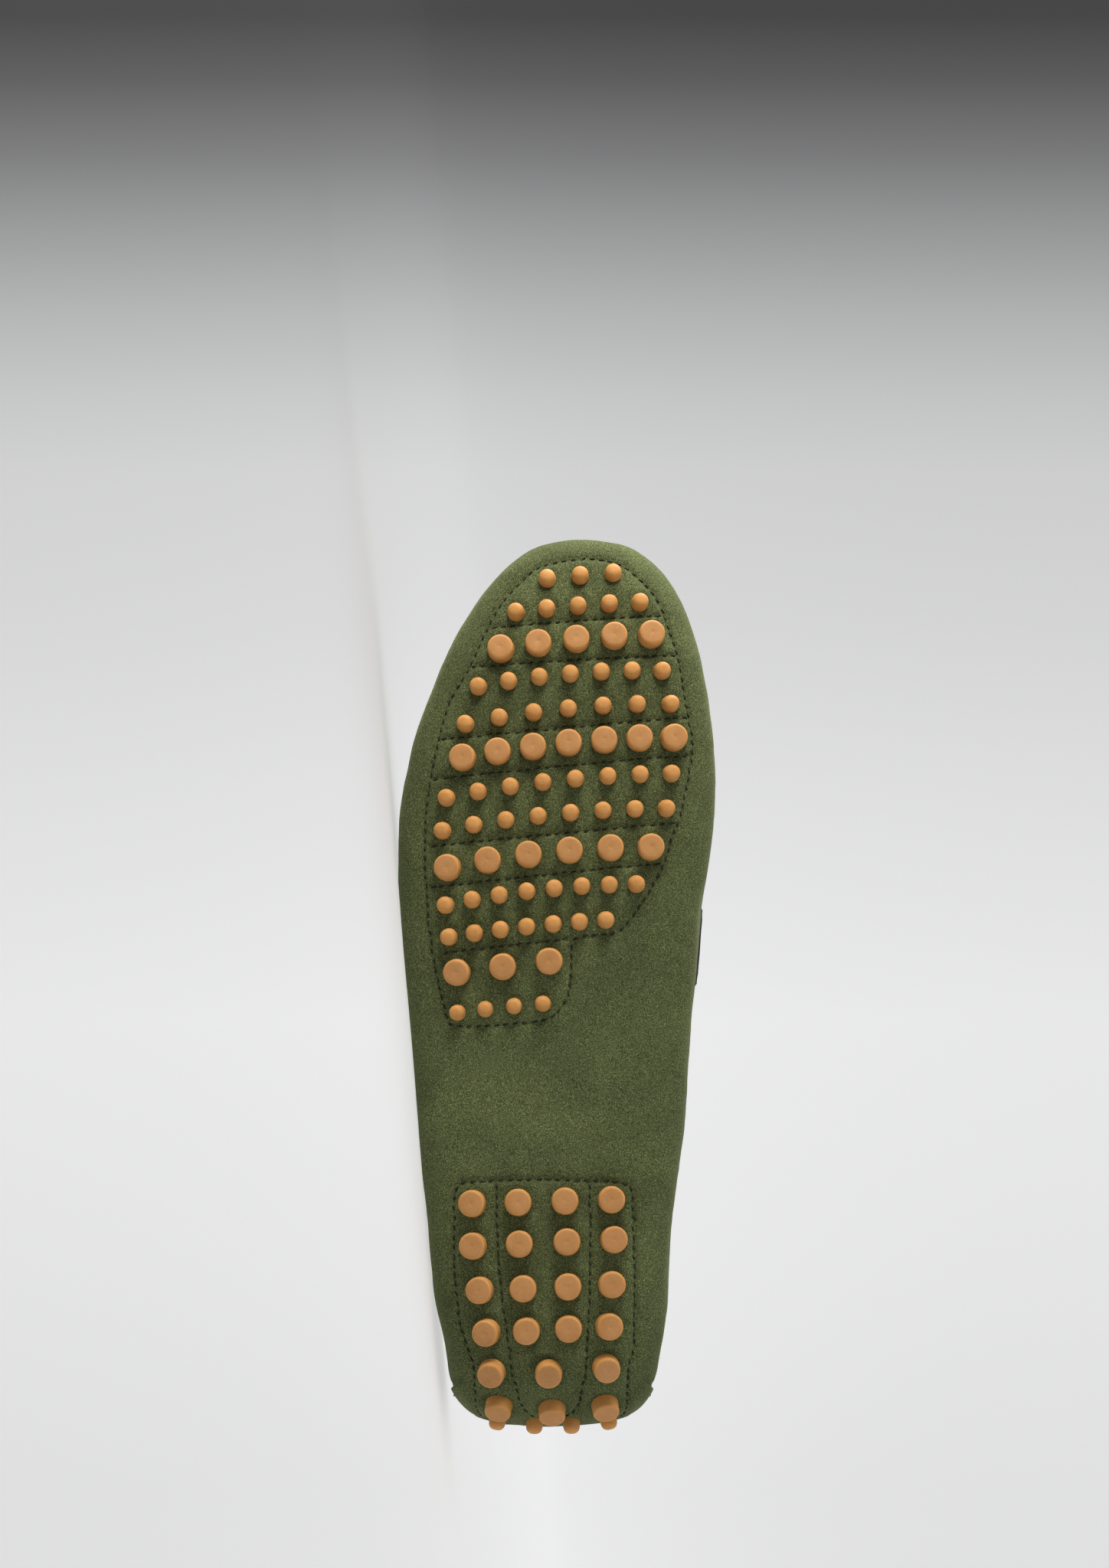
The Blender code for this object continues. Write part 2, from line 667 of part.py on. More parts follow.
def tongue_sheet():
    """The outer face of the tongue, under the apron and on behind the throat."""
    points = []
    for y, half_width in TONGUE_ROWS:
        for across in np.linspace(half_width, -half_width, TONGUE_COLUMNS + 1):
            outer = across >= 0
            line = spoke(side_way(y, outer))
            share = 1 - abs(across) / (line["reach"] - line["edge_in"])
            point = apron_point(line, share)
            normal = section_normal(y, 1 + min(share, 0.97), outer)
            points.append(offset(point, normal, -(SUEDE + TONGUE_GAP)))
    return points, grid_faces(len(TONGUE_ROWS), TONGUE_COLUMNS + 1)


def clear_scene():
    """Start from an empty scene."""
    for found in list(bpy.data.objects):
        bpy.data.objects.remove(found, do_unlink=True)


def build():
    """Make every piece in the shoe's frame and lay the shoe down."""
    clear_scene()
    shoe = collection("driving_moccasin")
    tools = collection("cutters")
    suede = material("green_suede", (0.115, 0.150, 0.060), 0.95)
    gum = material("gum_rubber", (0.52, 0.25, 0.10), 0.55)
    calf = material("dark_calf", (0.030, 0.018, 0.022), 0.5)
    lining = material("tan_lining", (0.40, 0.24, 0.12), 0.7)

    fore_studs = stud_places(STUD_ROWS)
    heel_studs = stud_places(HEEL_STUD_ROWS) + back_stud_places()

    skin = upper_sheet()
    floor_plane = press_flat(skin.points)
    upper = mesh_object("upper", skin.points, skin.faces, shoe, suede)
    thicken(upper, SUEDE, -1)
    combine(upper, seam_tube(tools), "UNION")
    holes = cutter_object("stud_holes", *prisms(fore_studs + heel_studs, hole_rings), tools)
    combine(upper, holes, "DIFFERENCE")

    forefoot = mesh_object("forefoot_plate", *forefoot_plate_sheet(), shoe, gum)
    thicken(forefoot, PLATE, -1)
    combine(forefoot, cutter_object("forefoot_studs", *prisms(fore_studs, stud_rings(PLATE_GAP)), tools), "UNION")
    heel = mesh_object("heel_plate", *heel_plate_sheet(), shoe, gum)
    thicken(heel, PLATE, -1)
    combine(heel, cutter_object("heel_studs", *prisms(heel_studs, stud_rings(PLATE_GAP)), tools), "UNION")

    bed = insole_sheet()
    insole = mesh_object("insole", bed.points, bed.faces, shoe, lining)
    thicken(insole, INSOLE, -1)
    tongue = mesh_object("tongue", *tongue_sheet(), shoe, suede)
    thicken(tongue, TONGUE, -1)
    strap = mesh_object("saddle_strap", *strap_sheet(), shoe, calf)
    thicken(strap, STRAP_LEATHER, 1)
    lay_down(list(shoe.objects) + list(tools.objects), floor_plane)


build()
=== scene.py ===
from math import cos, pi, radians, sin

import bpy
import numpy as np
from mathutils import Matrix, Vector, noise
from mathutils.bvhtree import BVHTree
from mathutils.kdtree import KDTree


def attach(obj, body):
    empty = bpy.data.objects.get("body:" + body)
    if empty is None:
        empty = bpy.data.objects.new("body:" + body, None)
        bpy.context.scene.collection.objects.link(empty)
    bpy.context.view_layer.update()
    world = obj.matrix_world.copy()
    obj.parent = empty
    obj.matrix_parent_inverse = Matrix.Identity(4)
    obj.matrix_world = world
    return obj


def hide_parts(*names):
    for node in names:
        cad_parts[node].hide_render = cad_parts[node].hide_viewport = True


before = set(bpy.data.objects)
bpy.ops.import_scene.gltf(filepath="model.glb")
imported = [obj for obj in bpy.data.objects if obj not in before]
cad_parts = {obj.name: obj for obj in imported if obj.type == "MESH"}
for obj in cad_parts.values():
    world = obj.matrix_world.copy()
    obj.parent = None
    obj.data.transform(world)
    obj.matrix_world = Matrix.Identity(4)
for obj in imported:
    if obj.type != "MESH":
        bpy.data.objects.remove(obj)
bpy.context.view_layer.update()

# Driving moccasin, right shoe, men's size 42, lying on its outer side.
# Points are worked out in millimetres in the shoe's own frame, as in the part's source: x to the
# outer side, y to the toe, z up from the stud ends. to_row brings them into the row's frame.

MM = 0.001
REST_TO_HEEL, REST_TO_INSTEP = radians(5.0), radians(1.0)
FLOOR_PLANE = 33.94
SHOE_ORIGIN = np.array([139.65, -37.03, FLOOR_PLANE])
FLOORWARD = np.array([cos(REST_TO_INSTEP) * cos(REST_TO_HEEL),
                      -cos(REST_TO_INSTEP) * sin(REST_TO_HEEL), sin(REST_TO_INSTEP)])


def unit(vectors):
    """Vectors brought to length one."""
    vectors = np.asarray(vectors, float)
    return vectors / np.maximum(np.linalg.norm(vectors, axis=-1, keepdims=True), 1e-12)


TOEWARD = unit(np.array([0.0, 1.0, 0.0]) - FLOORWARD[1] * FLOORWARD)
SHOE_TO_ROW = np.array([-TOEWARD, np.cross(FLOORWARD, TOEWARD), -FLOORWARD])


def to_row(points):
    """Points of the shoe's frame in millimetres as points of the row's frame in metres."""
    return (np.asarray(points, float) @ SHOE_TO_ROW.T + SHOE_ORIGIN) * MM


# CAMERA
# A 90 mm lens on a 36 mm frame, square to the length of the sole and 7 degrees down from its
# normal, 1.25 m away. It is rolled with the shoe, so the toe points up in the picture.
LENS_MM, SENSOR_MM = 90.0, 36.0
CAMERA_TILT = radians(7.0)
CAMERA_AIM = np.array([-1.2, 203.0, 4.3])
CAMERA_DISTANCE = 1249.0

looking = np.array([0.0, sin(CAMERA_TILT), cos(CAMERA_TILT)])
picture_up = np.array([0.0, cos(CAMERA_TILT), -sin(CAMERA_TILT)])
axes = SHOE_TO_ROW @ np.column_stack([[-1.0, 0.0, 0.0], picture_up, -looking])


def added(name, data):
    """A new object in the scene."""
    made = bpy.data.objects.new(name, data)
    bpy.context.scene.collection.objects.link(made)
    return made


camera = added("camera", bpy.data.cameras.new("camera"))
camera_place = to_row(CAMERA_AIM - CAMERA_DISTANCE * looking)
camera.matrix_world = Matrix.Translation(camera_place) @ Matrix(axes).to_4x4()
camera.data.lens = LENS_MM
camera.data.sensor_width = SENSOR_MM
camera.data.clip_start, camera.data.clip_end = 0.05, 30.0
bpy.context.scene.camera = camera
bpy.context.scene.view_settings.view_transform = "Standard"


def linear(code):
    """An sRGB hex colour as the linear colour of a shader socket."""
    parts = [int(code[i:i + 2], 16) / 255 for i in (1, 3, 5)]
    return tuple(p / 12.92 if p <= 0.04045 else ((p + 0.055) / 1.055) ** 2.4 for p in parts) + (1.0,)


def feed(made, inputs):
    """Fill the inputs of a shader node, each with a value or the output of another node."""
    for name, value in inputs.items():
        if isinstance(value, bpy.types.NodeSocket):
            made.id_data.links.new(value, made.inputs[name])
        else:
            made.inputs[name].default_value = value


def node(tree, kind, inputs=None, **settings):
    """One shader node with its settings and inputs."""
    made = tree.nodes.new(kind)
    for name, value in settings.items():
        setattr(made, name, value)
    feed(made, inputs or {})
    return made


def ramp(tree, factor, *stops):
    """A colour ramp over a factor: pairs of a place and a colour."""
    made = node(tree, "ShaderNodeValToRGB", {"Fac": factor})
    made.color_ramp.elements[0].position, made.color_ramp.elements[0].color = stops[0]
    made.color_ramp.elements[1].position, made.color_ramp.elements[1].color = stops[-1]
    for place, colour in stops[1:-1]:
        made.color_ramp.elements.new(place).color = colour
    return made.outputs["Color"]


def start_material(name):
    """A material with its node tree and Principled shader."""
    made = bpy.data.materials.new(name)
    made.use_nodes = True
    return made, made.node_tree, made.node_tree.nodes["Principled BSDF"]


# STUDIO
# A sweep of pale paper: a floor that runs back and turns up behind the shoe. Beyond the toe its colour
# darkens into painted shade, along lines that fan out from below the camera, so it is level in the picture.
# The paper also glows with that same colour, as well as being lit.
PAPER_PAINTED_SHADE = ((0.01, "#4a4a4b"), (0.05, "#5f5f60"), (0.10, "#7e7e7f"), (0.15, "#9c9d9d"),
                (0.20, "#b4b5b5"), (0.25, "#c5c6c6"), (0.30, "#d0d0d0"), (0.40, "#d6d6d6"),
                (0.50, "#dedede"), (0.65, "#e7e7e7"), (0.80, "#e3e3e3"), (0.95, "#dedede"))
FAN_HALF, FAN_NEAREST = 0.2, 0.35
PAPER_GLOW = 0.70
SWEEP_FRONT, SWEEP_BACK, SWEEP_SIDE = -3.2, 1.3, 4.0
SWEEP_RADIUS, SWEEP_HEIGHT = 1.1, 3.4

profile = [(SWEEP_FRONT, 0.0), (SWEEP_BACK, 0.0)]
for turn in np.linspace(0, pi / 2, 25)[1:]:
    profile.append((SWEEP_BACK + SWEEP_RADIUS * sin(turn), SWEEP_RADIUS * (1 - cos(turn))))
profile.append((SWEEP_BACK + SWEEP_RADIUS, SWEEP_HEIGHT))
sweep_points = [(x, y, z) for x in (-SWEEP_SIDE, SWEEP_SIDE) for y, z in profile]
count = len(profile)
sweep_faces = [(i, count + i, count + i + 1, i + 1) for i in range(count - 1)]
mesh = bpy.data.meshes.new("paper_sweep")
mesh.from_pydata(sweep_points, [], sweep_faces)
mesh.shade_smooth()
sweep = added("paper_sweep", mesh)

paper, tree, shader = start_material("matt_background_paper")
place = node(tree, "ShaderNodeTexCoord").outputs["Object"]
fan_from = np.array(camera.matrix_world.translation)
reaches = []
for heading in (SHOE_TO_ROW @ picture_up, SHOE_TO_ROW @ looking):
    dot = node(tree, "ShaderNodeVectorMath", {0: place, 1: tuple(heading)}, operation="DOT_PRODUCT")
    reaches.append(node(tree, "ShaderNodeMath", {0: dot.outputs["Value"], 1: float(fan_from @ heading)},
                        operation="SUBTRACT").outputs["Value"])
ahead = node(tree, "ShaderNodeMath", {0: reaches[1], 1: FAN_NEAREST}, operation="MAXIMUM").outputs["Value"]
fan = node(tree, "ShaderNodeMath", {0: reaches[0], 1: ahead}, operation="DIVIDE").outputs["Value"]
down = node(tree, "ShaderNodeMapRange", {"Value": fan, "From Min": FAN_HALF, "From Max": -FAN_HALF})
# The ramp paints the shade into the paper's colour, and the paper glows with that same colour.
shade = ramp(tree, down.outputs["Result"], *((at, linear(code)) for at, code in PAPER_PAINTED_SHADE))
feed(shader, {"Base Color": shade, "Emission Color": shade, "Emission Strength": PAPER_GLOW, "Roughness": 0.9,
              "Specular IOR Level": 0.1})
mesh.materials.append(paper)


def softbox(name, place, aim, size, power, colour="#ffffff"):
    """A square area light at a place, turned to a point."""
    lamp = bpy.data.lights.new(name, "AREA")
    lamp.size = size
    lamp.energy = power
    lamp.color = linear(colour)[:3]
    made = added(name, lamp)
    made.location = place
    made.rotation_euler = (Vector(aim) - Vector(place)).to_track_quat("-Z", "Y").to_euler()
    return made


# The key stands off the toe on the camera's side, 27 degrees over the sole. A rim light behind the
# toe, a fill off the heel and one over the inner side go with it, and all four spare the paper.
spared = bpy.data.collections.new("spared_paper")
spared.objects.link(sweep)
spared.collection_objects[0].light_linking.link_state = "EXCLUDE"
for lamp in (softbox("key_from_toe", (-0.66, -0.32, 0.21), (-0.06, 0.0, 0.06), 0.32, 8.2, "#fffaf2"),
             softbox("rim_from_toe", (-0.80, 0.20, 0.32), (-0.13, 0.03, 0.05), 0.40, 9.0),
             softbox("fill_from_heel", (0.62, -0.30, 0.22), (0.10, 0.0, 0.04), 0.35, 1.6),
             softbox("fill_from_inner_side", (0.05, -0.20, 0.72), (0.03, 0.0, 0.05), 0.40, 1.5)):
    lamp.light_linking.receiver_collection = spared
softbox("fill_from_front", (0.5, -1.9, 1.3), (0.0, 0.0, 0.05), 1.4, 1.5)
softbox("top_light", (0.1, 0.3, 1.9), (0.0, 0.1, 0.0), 1.8, 6.0)
softbox("back_light", (0.9, 1.1, 0.9), (0.0, 0.0, 0.05), 0.9, 1.5)
world = bpy.data.worlds.new("studio_air")
world.use_nodes = True
feed(world.node_tree.nodes["Background"], {"Color": linear("#f4f6f8"), "Strength": 0.15})
bpy.context.scene.world = world


# SUEDE UPPER
# One skin of green calf suede, nap side out: it is drawn up round the last from under the foot,
# so that sole, side walls and toe are one piece, and the apron closes it on top. It lies on its
# outer side, which is pressed flat where it meets the floor.
STUD_HEIGHT = 4.3
SUEDE_THICK = 1.8
TOE_SPRING_START, TOE_SPRING = 195.0, 0.00087
ARCH_BACK, ARCH_FRONT, ARCH_RISE = 75.0, 170.0, 2.5
THROAT_Y = 161.5
COLUMNS = ("spine_x", "spine_y", "out_x", "out_y", "in_x", "in_y",
           "wide_z", "edge_in", "edge_z", "lean", "corner", "crown_z")
LAST = np.array((
    (-6.5, 232.0, -10.7, 285.6, -10.7, 285.6, 27.4, 22.0, 37.5, 84, 4.0, 45.5),
    (-6.5, 232.0, 7.5, 281.3, -28.6, 281.3, 27.0, 21.5, 37.8, 84, 4.0, 45.5),
    (-6.5, 232.0, 18.5, 271.2, -38.5, 271.2, 25.5, 21.0, 38.5, 84, 4.0, 45.5),
    (-6.5, 232.0, 29.6, 255.0, -46.0, 255.0, 23.6, 20.5, 39.5, 84, 4.0, 45.5),
    (-6.5, 232.0, 41.3, 227.7, -50.1, 236.3, 21.6, 20.0, 41.8, 83, 4.0, 45.5),
    (-3.5, 209.0, 47.1, 204.5, -52.8, 213.8, 20.5, 20.0, 45.4, 82, 4.0, 51.0),
    (-1.7, 186.0, 49.1, 181.2, -52.1, 190.8, 20.3, 19.3, 50.6, 80, 4.0, 58.6),
    (-0.9, 173.8, 48.7, 169.0, -51.1, 178.5, 20.3, 18.5, 54.0, 76, 4.0, 63.2),
    (-0.2, 161.5, 48.1, 156.9, -49.0, 166.1, 20.6, 17.8, 57.4, 71, 4.0, 67.8),
    (0.2, 149.5, 47.2, 145.2, -47.1, 153.9, 21.6, 16.5, 58.8, 64, 4.0, 71.5),
    (0.3, 124.5, 44.6, 121.0, -44.4, 128.0, 24.0, 14.6, 56.0, 55, 4.0, 77.0),
    (0.2, 98.0, 42.6, 96.0, -42.4, 100.0, 23.4, 13.2, 53.7, 49, 4.0, 82.0),
    (0.1, 78.0, 40.9, 77.5, -40.0, 79.0, 21.8, 12.3, 53.8, 46, 4.0, 82.0),
    (-0.1, 51.0, 37.6, 50.5, -37.6, 51.5, 21.2, 10.7, 56.0, 44, 3.8, 82.0),
    (-0.2, 38.0, 36.2, 37.5, -36.9, 38.5, 22.0, 9.5, 58.2, 42, 3.3, 82.0),
    (-0.2, 38.0, 33.5, 24.9, -34.7, 24.9, 25.0, 8.0, 61.0, 40, 3.0, 82.0),
    (-0.2, 38.0, 30.6, 11.5, -31.6, 11.5, 30.0, 7.0, 63.0, 40, 2.7, 82.0),
    (-0.2, 38.0, 23.5, 4.2, -24.5, 4.2, 32.5, 6.5, 64.0, 40, 2.5, 82.0),
    (-0.2, 38.0, 11.5, 1.2, -12.0, 1.2, 33.0, 6.0, 65.0, 40, 2.4, 82.0),
    (-0.2, 38.0, -0.2, 0.5, -0.2, 0.5, 33.0, 6.0, 65.0, 40, 2.4, 82.0),
))
LAST_OF = dict(zip(COLUMNS, LAST.T))
OUTER = LAST[:, 2:4]
INNER = LAST[:, 4:6]
STEPS = (np.linalg.norm(np.diff(OUTER, axis=0), axis=1) + np.linalg.norm(np.diff(INNER, axis=0), axis=1)) / 2
STATION = np.concatenate([[0.0], np.cumsum(STEPS)])
HALF_LOOP, FULL_LOOP = STATION[-1], 2 * STATION[-1]
BALL_WAY, THROAT_WAY = STATION[6], STATION[8]
KNOTS = np.concatenate([STATION, FULL_LOOP - STATION[-2:0:-1], [FULL_LOOP]])


def closed_spline(outer_values, inner_values):
    """The closed cubic spline of the way round the shoe through both sides' values."""
    values = np.concatenate([outer_values, inner_values[-2:0:-1]])
    gaps = np.diff(KNOTS)
    count = len(values)
    table, right = np.zeros((count, count)), np.zeros(count)
    for i in range(count):
        before, after, following = gaps[i - 1], gaps[i], (i + 1) % count
        table[i, i - 1], table[i, i], table[i, following] = before / 6, (before + after) / 3, after / 6
        right[i] = (values[following] - values[i]) / after - (values[i] - values[i - 1]) / before
    bends = np.linalg.solve(table, right)

    def at(way):
        way = np.asarray(way, float) % KNOTS[-1]
        i = np.clip(np.searchsorted(KNOTS, way, side="right") - 1, 0, count - 1)
        j = (i + 1) % count
        gap = gaps[i]
        back, ahead = (KNOTS[i + 1] - way) / gap, (way - KNOTS[i]) / gap
        bend = (back ** 3 - back) * bends[i] + (ahead ** 3 - ahead) * bends[j]
        return back * values[i] + ahead * values[j] + bend * gap * gap / 6

    return at


OUTLINE_X = closed_spline(OUTER[:, 0], INNER[:, 0])
OUTLINE_Y = closed_spline(OUTER[:, 1], INNER[:, 1])
SMOOTH = {name: closed_spline(LAST_OF[name], LAST_OF[name]) for name in ("wide_z", "edge_in", "edge_z")}


def folded(ways):
    """Ways round as the same way on the outer side, from the toe tip to the back of the heel."""
    return np.where(ways <= HALF_LOOP, ways, FULL_LOOP - ways)


def spokes(ways):
    """The sizes of the last's spokes at the ways round, from the toe tip by the outer side."""
    ways = np.asarray(ways, float)
    sizes = {name: np.interp(folded(ways), STATION, LAST_OF[name])
             for name in ("spine_x", "spine_y", "lean", "corner", "crown_z")}
    sizes.update({name: curve(ways) for name, curve in SMOOTH.items()})
    sizes["spine"] = np.stack([sizes["spine_x"], sizes["spine_y"]], -1)
    sizes["outline"] = np.stack([OUTLINE_X(ways), OUTLINE_Y(ways)], -1)
    sizes["heading"] = unit(sizes["outline"] - sizes["spine"])
    return sizes


def ground(y):
    """Height of the suede in the middle of the sole: studs, toe spring and arch."""
    spring = TOE_SPRING * np.maximum(y - TOE_SPRING_START, 0.0) ** 2
    inside = np.clip((y - ARCH_BACK) / (ARCH_FRONT - ARCH_BACK), 0.0, 1.0)
    return STUD_HEIGHT + spring + ARCH_RISE * np.sin(pi * inside) ** 2


def with_height(flat, height):
    """Plan points and their heights as points."""
    return np.concatenate([flat, height[..., None]], -1)


def level_points(ways, levels):
    """Points at each way round and level: underside 0 to 1, side wall to 2, apron to 3."""
    line = {k: v[:, None] for k, v in spokes(ways).items()}
    level = np.asarray(levels, float)[None, :]
    share = np.clip(level, 0, 1)
    flat = line["spine"] + share[..., None] * (line["outline"] - line["spine"])
    rise = 1 - np.maximum(0.0, 1 - share ** line["corner"]) ** (1 / line["corner"])
    rim_rise = line["wide_z"] - ground(line["outline"][..., 1])
    under = with_height(flat, ground(flat[..., 1]) + rim_rise * rise)
    lean, share = np.radians(line["lean"]), np.clip(level - 1, 0, 1)
    inward = line["edge_in"] * (1 - np.cos(lean * share)) / (1 - np.cos(lean))
    height = line["wide_z"] + (line["edge_z"] - line["wide_z"]) * np.sin(lean * share) / np.sin(lean)
    wall = with_height(line["outline"] - inward[..., None] * line["heading"], height)
    share = np.clip(level - 2, 0, 1)
    edge = line["outline"] - line["edge_in"][..., None] * line["heading"]
    crown = line["edge_z"] + (line["crown_z"] - line["edge_z"]) * (1 - (1 - share) ** 2)
    apron = with_height(edge + share[..., None] * (line["spine"] - edge), crown)
    level = level[..., None]
    return np.where(level <= 1, under, np.where(level <= 2, wall, apron))


def run_along(points):
    """Distance along a line at each of its points."""
    return np.concatenate([[0.0], np.cumsum(np.linalg.norm(np.diff(points, axis=0), axis=1))])


def even_levels(low, high, count):
    """Levels between two that lie evenly along a spoke at the ball of the foot."""
    fine = np.linspace(low, high, 4000)
    run = run_along(level_points([BALL_WAY], fine)[0])
    return np.interp(np.linspace(0.0, run[-1], count + 1), run, fine)


def ways_round(spacing, extra=()):
    """Ways round the shoe at a spacing, the same on both sides, with the throat among them."""
    half = set(np.round(np.linspace(0.0, HALF_LOOP, int(HALF_LOOP / spacing) + 1), 4))
    for fixed in (THROAT_WAY, *extra):
        near = min(half - {0.0, round(HALF_LOOP, 4)}, key=lambda way: abs(way - fixed))
        if abs(near - fixed) < 0.4 * spacing:
            half.discard(near)
        half.add(float(fixed))
    half = sorted(half)
    half[-1] = HALF_LOOP
    return np.array(half + [FULL_LOOP - way for way in half[-2:0:-1]])


def quads(ids):
    """Four-cornered faces between the rows and columns of a grid of corner numbers."""
    corners = np.stack([ids[:-1, :-1], ids[:-1, 1:], ids[1:, 1:], ids[1:, :-1]], -1)
    return [tuple(face) for face in corners.reshape(-1, 4).tolist()]


def joined_ids(grid, ends):
    """Corner numbers of a grid of spokes, which share the corners that meet at these ends."""
    ids = np.arange(grid.shape[0] * grid.shape[1]).reshape(grid.shape[:2])
    shared = {}
    for k in ends:
        for i in range(len(grid)):
            ids[i, k] = shared.setdefault((k, *np.round(grid[i, k], 3)), ids[i, k])
    return ids


def spoke_faces(pair):
    """Faces between two spokes, with a shared corner taken once."""
    faces = []
    for face in quads(pair):
        corners = face[1:] + face[:1]
        faces.append(tuple(c for n, c in enumerate(corners) if c != corners[n - 1]))
    return [face for face in faces if len(face) > 2]


def only_used(faces):
    """The corners that faces use, and the faces with those corners numbered anew."""
    used = np.unique(np.concatenate(faces))
    place_of = np.full(used[-1] + 1, -1)
    place_of[used] = np.arange(len(used))
    return used, [tuple(place_of[list(face)].tolist()) for face in faces]


def skin_grid(ways, levels, apron_levels):
    """Points and faces of the skin, whose sides meet along the spine below and above."""
    grid = level_points(ways, np.concatenate([levels, apron_levels]))
    rows, width = grid.shape[:2]
    has_apron = spokes(ways)["spine_y"] >= THROAT_Y - 0.01
    ids = joined_ids(grid, (0, width - 1))
    faces = []
    for i in range(rows):
        j = (i + 1) % rows
        faces += spoke_faces(ids[[i, j], :width if has_apron[i] and has_apron[j] else len(levels)])
    return grid, *only_used(faces)


def corner_normals(points, faces):
    """Outward directions at the points, from the faces round them."""
    quads = np.array([face if len(face) == 4 else (*face, face[-1]) for face in faces])
    turned = np.cross(points[quads[:, 2]] - points[quads[:, 0]], points[quads[:, 3]] - points[quads[:, 1]])
    total = np.zeros_like(points)
    for k in range(4):
        np.add.at(total, quads[:, k], turned)
    return unit(total)


def above_floor(points, clearance=0.02):
    """Points in millimetres of the shoe's frame, with what lies beyond the floor pressed onto it."""
    points = np.asarray(points, float)
    beyond = points @ FLOORWARD - (FLOOR_PLANE - clearance)
    return points - np.maximum(beyond, 0.0)[:, None] * FLOORWARD


def piece(name, points, faces, finish):
    """A mesh object of the shoe from points in millimetres of its own frame."""
    mesh = bpy.data.meshes.new(name)
    mesh.from_pydata(to_row(above_floor(points)).tolist(), [], faces)
    mesh.update()
    mesh.shade_smooth()
    mesh.materials.append(finish)
    made = added(name, mesh)
    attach(made, "root")
    return made


def rolling(points, size, seed):
    """Soft noise between about -1 and 1 at the points, with hills of that size."""
    shift = Vector((seed * 17.3, seed * 5.1, seed * 9.7))
    return np.array([noise.noise(Vector(p) / size + shift) for p in points.tolist()]) * 1.6


# Lap of the heel piece over the side walls: the way round of its raw edge, and how proud it stands
LAP_WAY, LAP_HEIGHT = STATION[16] - 1.0, 0.95
ways = ways_round(0.86, (LAP_WAY - 0.25, LAP_WAY + 0.25))
levels = np.concatenate([even_levels(0, 1, 78), even_levels(1, 2, 27)[1:]])
apron_levels = even_levels(2, 3, 20)[1:]
grid, used, skin_faces = skin_grid(ways, levels, apron_levels)
skin = grid.reshape(-1, 3)[used]
skin_way = np.repeat(ways, grid.shape[1])[used]
skin_level = np.tile(np.concatenate([levels, apron_levels]), len(ways))[used]
skin_out = corner_normals(skin, skin_faces)
bare_tree = BVHTree.FromPolygons(skin.tolist(), skin_faces)
CAST_FROM = -40.0


def found(hits):
    """Points and outward directions among the hits on a surface."""
    return np.array([hit[0] for hit in hits]), np.array([hit[1] for hit in hits])


def from_below(flat):
    """Points and outward directions of the underside over points of the plan."""
    return found([bare_tree.ray_cast(Vector((x, y, CAST_FROM)), Vector((0, 0, 1))) for x, y in flat])


def from_behind(across):
    """Points and outward directions of the back of the heel, at each x and z."""
    return found([bare_tree.ray_cast(Vector((x, CAST_FROM, z)), Vector((0, 1, 0))) for x, z in across])


def nearest_on(tree, points):
    """The nearest points of a surface, and its outward directions there."""
    return found([tree.find_nearest(Vector(point)) for point in np.asarray(points).tolist()])


# Stitch lines on the plan: outline of the forefoot pad, its lines across, and the heel pad
FORE_OUTLINE = (
    (-8.8, 276.3), (3.2, 273.8), (9.8, 268.3), (15.2, 262.3), (20.6, 252.4), (26.2, 240.2), (33.0, 227.4),
    (36.6, 213.1), (39.5, 197.4), (40.2, 181.4), (38.9, 157.7), (36.4, 142.2), (32.8, 128.0), (30.4, 125.6),
    (20.3, 125.4), (10.4, 126.2), (3.4, 126.9), (-1.7, 129.3), (-5.1, 134.2), (-6.5, 142.2), (-6.7, 150.6),
    (-8.2, 152.9), (-12.4, 153.6), (-19.4, 154.3), (-23.1, 156.3), (-28.7, 163.6), (-33.1, 170.7),
    (-36.0, 176.5), (-38.7, 185.1), (-40.9, 190.0), (-42.6, 197.4), (-44.1, 204.5), (-45.4, 213.8),
    (-44.5, 222.9), (-42.5, 233.6), (-41.1, 243.5), (-38.2, 251.6), (-36.8, 257.1), (-32.9, 264.6),
    (-27.7, 270.3), (-23.3, 273.8), (-16.4, 276.0), (-8.8, 276.3),
)
FORE_CROSS = (
    ((19.6, 253.1), (-36.0, 257.3)), ((26.2, 240.2), (-41.1, 244.2)), ((35.9, 216.5), (-44.5, 223.9)),
    ((38.1, 203.7), (-44.7, 211.6)), ((38.7, 182.2), (-40.2, 189.7)), ((38.9, 169.0), (-35.5, 176.8)),
    ((34.9, 148.2), (-6.5, 152.9)),
)
HEEL_OUTLINE = (
    (23.7, 4.4), (26.6, 17.0), (28.5, 29.8), (29.8, 42.6), (30.5, 55.3), (30.3, 71.6), (28.9, 75.2),
    (25.2, 76.7), (4.6, 77.5), (-12.3, 77.0), (-21.0, 76.7), (-24.6, 75.2), (-26.0, 71.3), (-26.4, 49.1),
    (-26.4, 29.8), (-25.9, 17.0), (-24.4, 5.6),
)
HEEL_U_OUTER = ((17.1, 76.8), (16.8, 61.7), (16.1, 48.8), (14.6, 36.2), (12.7, 23.4), (11.9, 15.1),
                (11.0, 7.5))
HEEL_U_INNER = ((-12.3, 76.8), (-12.3, 55.3), (-12.2, 42.6), (-11.3, 23.4), (-10.6, 13.9), (-10.0, 6.3))
# The same lines go on up the back of the heel, at x and z, and the heel pad closes at its top. Its
# two sides mirror each other, with the inner one a little further out.
BACK_OUTER = ((24.2, 9.6), (23.9, 14.0), (23.1, 20.0), (21.5, 25.5), (18.6, 29.4), (14.0, 31.2))
BACK_INNER = tuple((-0.4 - x, z) for x, z in BACK_OUTER)
BACK_TOP = (0.0, 31.8)
BACK_U = ((10.8, 9.6), (9.7, 13.4), (7.9, 16.8), (4.8, 19.4), (0.4, 20.3), (-4.2, 19.3), (-7.6, 16.8),
          (-9.2, 13.4), (-9.9, 9.6))
